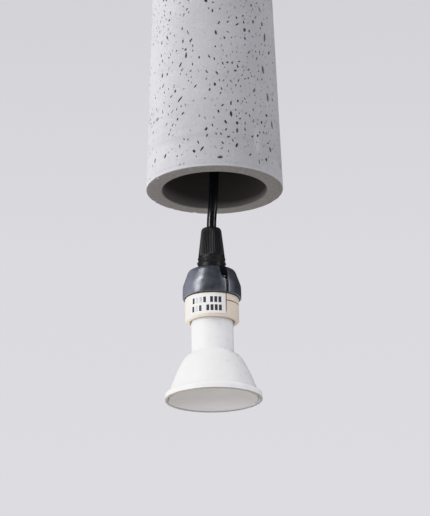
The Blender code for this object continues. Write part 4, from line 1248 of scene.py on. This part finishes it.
def canopy_shell():
    """The drawn cup at the ceiling, with a rolled bottom edge and a hole on each side for its screws."""
    out, inn, low = CANOPY_RADIUS, CANOPY_RADIUS - CANOPY_WALL, -CANOPY_HEIGHT
    hole = THREAD_HOLE + 0.1
    corners = [
        (hole, low, 0.2),
        (out, low, 4.0),
        (out, -0.5, 0.3),
        (inn, -0.5, 0.3),
        (inn, low + CANOPY_WALL, 2.8),
        (hole, low + CANOPY_WALL, 0.2),
    ]
    at = CEILING, "ceiling_mount", "black_metal"
    cup = turned("canopy_shell", rounded(corners, 8), *at, ["canopy_cup"], 128)
    lay = Matrix.Translation((0, 0, -9.0)) @ Matrix.Rotation(math.pi / 2, 4, "Y")
    carved(cup, [prism_cutter(disc_outline(2.3, 24), side - 6, side + 6, lay) for side in (-out, out)])


def lock_pieces():
    """The cable lock over the shade: its body with two spanner flats and its knurled nut."""
    top = SHADE_LENGTH
    body = [
        (THREAD_HOLE, top + 3.6, 0.2),
        (THREAD_HOLE, top + 9.4, 0.0),
        (4.2, top + 10.2, 0.0),
        (4.2, top + 17.4, 0.2),
        (5.6, top + 17.4, 0.2),
        (5.6, top + 12.6, 0.3),
        (8.4, top + 12.2, 0.7),
        (8.4, top + 3.6, 0.7),
    ]
    base = turned("lock_base", rounded(body), SHADE, "shade", "black_metal", ["lock_body"], 96)
    flats = [[(side * 7.6, -9), (side * 10, -9), (side * 10, 9), (side * 7.6, 9)] for side in (-1, 1)]
    carved(base, [prism_cutter(flat, top + 3.0, top + 9.0, SHADE) for flat in flats])
    nut = rounded(
        [
            (CABLE_BORE, top + LOCK_HEIGHT, 0.3),
            (4.9, top + LOCK_HEIGHT, 0.9),
            (7.6, top + 16.0, 0.9),
            (7.6, top + 13.0, 0.5),
            (5.9, top + 13.0, 0.0),
            (5.9, top + 19.2, 0.0),
            (4.2, top + 20.8, 0.0),
            (CABLE_BORE, top + 22.2, 0.0),
        ]
    )
    ribs = 32

    def knurled(radius, height, azimuth, index):
        grip = bulge(height - (top + 17.0), 5.5) ** 0.5
        if radius > 5.92:
            radius -= 0.22 * grip * (0.5 - 0.5 * math.cos(math.radians(azimuth) * ribs))
        return radius, height

    dense = []
    for a, b in zip(nut, nut[1:] + nut[:1]):
        dense.append(a)
        if abs(a[1] - b[1]) > 1.5:
            dense += [tuple(Vector(a).lerp(Vector(b), k / 5)) for k in range(1, 5)]
    turned("lock_grip", dense, SHADE, "lock_nut", "black_metal", ["lock_nut"], ribs * 6, knurled, smooth=50)


def washers():
    """The rubber and steel washers between the lock and the concrete."""
    top = SHADE_LENGTH
    for name, node, outer, low, high, slot in (
        ("rubber_washer", "top_rubber_washer", 12.0, top + GAP, top + 1.8, "grey_rubber"),
        ("steel_washer", "top_steel_washer", 12.5, top + 2.1, top + 3.3, "black_metal"),
    ):
        corners = [(THREAD_HOLE, high, 0.2), (outer, high, 0.4), (outer, low, 0.4), (THREAD_HOLE, low, 0.2)]
        turned(name, rounded(corners), SHADE, "shade", slot, [node], 96)


def grip_under_canopy():
    """The moulded cord grip under the canopy, with a flange and a waisted body."""
    under = -CANOPY_HEIGHT - GAP
    corners = [
        (CABLE_BORE, -26.0, 0.0),
        (CABLE_BORE, CANOPY_EXIT_Z, 0.4),
        (5.6, CANOPY_EXIT_Z, 1.0),
        (6.8, under - 3.2, 0.8),
        (8.5, under - 2.2, 0.7),
        (8.5, under, 0.3),
        (THREAD_RADIUS, under, 0.0),
        (THREAD_RADIUS, -26.0, 0.5),
    ]
    at = CEILING, "ceiling_mount", "black_plastic"
    grip = turned("canopy_grip", rounded(corners), *at, ["canopy_grip_body"], 80)
    lay = Matrix.Translation((0, 0, CANOPY_EXIT_Z + 5.5)) @ Matrix.Rotation(math.pi / 2, 4, "Y")
    carved(grip, [prism_cutter(disc_outline(1.8, 20), 0.0, 12.0, lay)])


# --- the room ------------------------------------------------------------------------------------

AMBIENT = 0.70  # strength of the surround as light
MIRRORED = 0.05  # its strength in reflections
WINDOW_POWER = 46.0
SOFTBOX_POWER = 25.0
STRIP_POWER = 7.3
FLOOR_HALF = 14.0
FLOOR_Z = -1.7
HORIZON_COLOUR = (0.723, 0.716, 0.753, 1)
UPPER_COLOUR = (0.708, 0.701, 0.738, 1)
TOP_COLOUR = (0.651, 0.644, 0.679, 1)


def area_light(name, location, target, width, height, power, colour):
    lamp = bpy.data.lights.new(name, "AREA")
    lamp.shape = "RECTANGLE"
    lamp.size = width
    lamp.size_y = height
    lamp.energy = power
    lamp.color = colour
    thing = bpy.data.objects.new(name, lamp)
    bpy.context.scene.collection.objects.link(thing)
    thing.location = location
    thing.rotation_euler = (Vector(target) - thing.location).to_track_quat("-Z", "Y").to_euler()
    return thing


def soft_whites():
    """A tone curve that leaves the darks and mid tones alone and eases the brightest whites."""
    view = bpy.context.scene.view_settings
    view.view_transform = "Standard"
    view.look = "None"
    view.use_curve_mapping = True
    mapping = view.curve_mapping
    mapping.clip_max_x = 2.0
    curve = mapping.curves[3]
    curve.points[1].location = (2.0, 1.0)
    for bright, shown in ((0.75, 0.75), (0.85, 0.80), (1.0, 0.86), (1.3, 0.93)):
        curve.points.new(bright, shown)
    for point in curve.points:
        point.handle_type = "VECTOR"
    mapping.update()


def floor():
    """A wide pale floor, which also throws light back up at the lamp."""
    mesh = bpy.data.meshes.new("floor")
    corners = [(x * FLOOR_HALF, y * FLOOR_HALF, FLOOR_Z) for x, y in ((-1, -1), (1, -1), (1, 1), (-1, 1))]
    mesh.from_pydata(corners, [], [(0, 1, 2, 3)])
    floor = bpy.data.objects.new("floor", mesh)
    bpy.context.scene.collection.objects.link(floor)
    paint = Finish("floor_paint", (0.75, 0.74, 0.76), 0.8)
    clouds = paint.span(paint.noise(300.0, 3.0), 0.3, 0.7)
    paint.paint(paint.blend(clouds, (0.74, 0.73, 0.75), (0.76, 0.75, 0.77)))
    mesh.materials.append(paint.material)


def surround():
    """A pale world that darkens upwards to the eye, lights the lamp evenly, and is dark in reflections."""
    world = bpy.data.worlds.new("surround")
    bpy.context.scene.world = world
    world.use_nodes = True
    tree = world.node_tree
    tree.nodes.clear()
    ray = add_node(tree, "ShaderNodeLightPath").outputs
    place = add_node(tree, "ShaderNodeTexCoord").outputs["Generated"]
    upward = add_node(tree, "ShaderNodeSeparateXYZ", {"Vector": place}).outputs["Z"]
    rise = add_node(tree, "ShaderNodeValToRGB", {"Fac": upward})
    stops = rise.color_ramp.elements
    stops[0].position = 0.19
    stops[0].color = HORIZON_COLOUR
    stops[1].position = 0.45
    stops[1].color = TOP_COLOUR
    stops.new(0.32).color = UPPER_COLOUR
    by_ray = {"Value": ray["Is Glossy Ray"], "To Min": AMBIENT, "To Max": MIRRORED}
    strength = add_node(tree, "ShaderNodeMapRange", by_ray).outputs["Result"]
    lit = add_node(tree, "ShaderNodeBackground", {"Color": (0.97, 0.97, 1.0, 1), "Strength": strength})
    seen = add_node(tree, "ShaderNodeBackground", {"Color": rise.outputs["Color"]})
    mix = {0: ray["Is Camera Ray"], 1: lit.outputs[0], 2: seen.outputs[0]}
    add_node(tree, "ShaderNodeOutputWorld", {0: add_node(tree, "ShaderNodeMixShader", mix).outputs[0]})


def lights():
    """A wide window on the left, a softbox in front of it and a weaker strip on the right."""
    middle = (0, 0, RIM_Z * MM)
    white, cool = (1.0, 0.995, 1.0), (0.95, 0.97, 1.0)
    window = area_light("window_left", (-1.98, 0.30, -0.45), middle, 3.0, 2.4, WINDOW_POWER, white)
    window.visible_glossy = False
    area_light("softbox_left", (-1.38, -0.86, 0.30), middle, 0.65, 1.9, SOFTBOX_POWER, white)
    area_light("strip_right", (1.47, -0.74, 0.15), middle, 0.25, 1.8, STRIP_POWER, cool)


def camera():
    """A long lens below the rim, looking up at it."""
    lens = bpy.data.cameras.new("camera")
    lens.lens = 140.0
    lens.sensor_width = 36.0
    thing = bpy.data.objects.new("camera", lens)
    bpy.context.scene.collection.objects.link(thing)
    thing.location = (-0.0002, -0.9987, (RIM_Z - 376.9) * MM)
    pitch, roll = math.radians(18.76), math.radians(-0.66)
    turn = Matrix.Rotation(math.pi / 2 + pitch, 4, "X") @ Matrix.Rotation(roll, 4, "Z")
    thing.rotation_euler = turn.to_euler()
    bpy.context.scene.camera = thing


def dress_nodes():
    """The CAD nodes that stay get the finish of their material slot."""
    for node in frame["nodes"].values():
        for slot in node.material_slots:
            slot.material = FINISHES[slot.material.name.split(".")[0]]


camera()
cables()
concrete_shade()
cone_nut()
cap_cover()
socket()
sticker()
bulb_shell()
front_lens()
canopy_shell()
grip_under_canopy()
lock_pieces()
washers()
dress_nodes()
floor()
surround()
lights()
soft_whites()
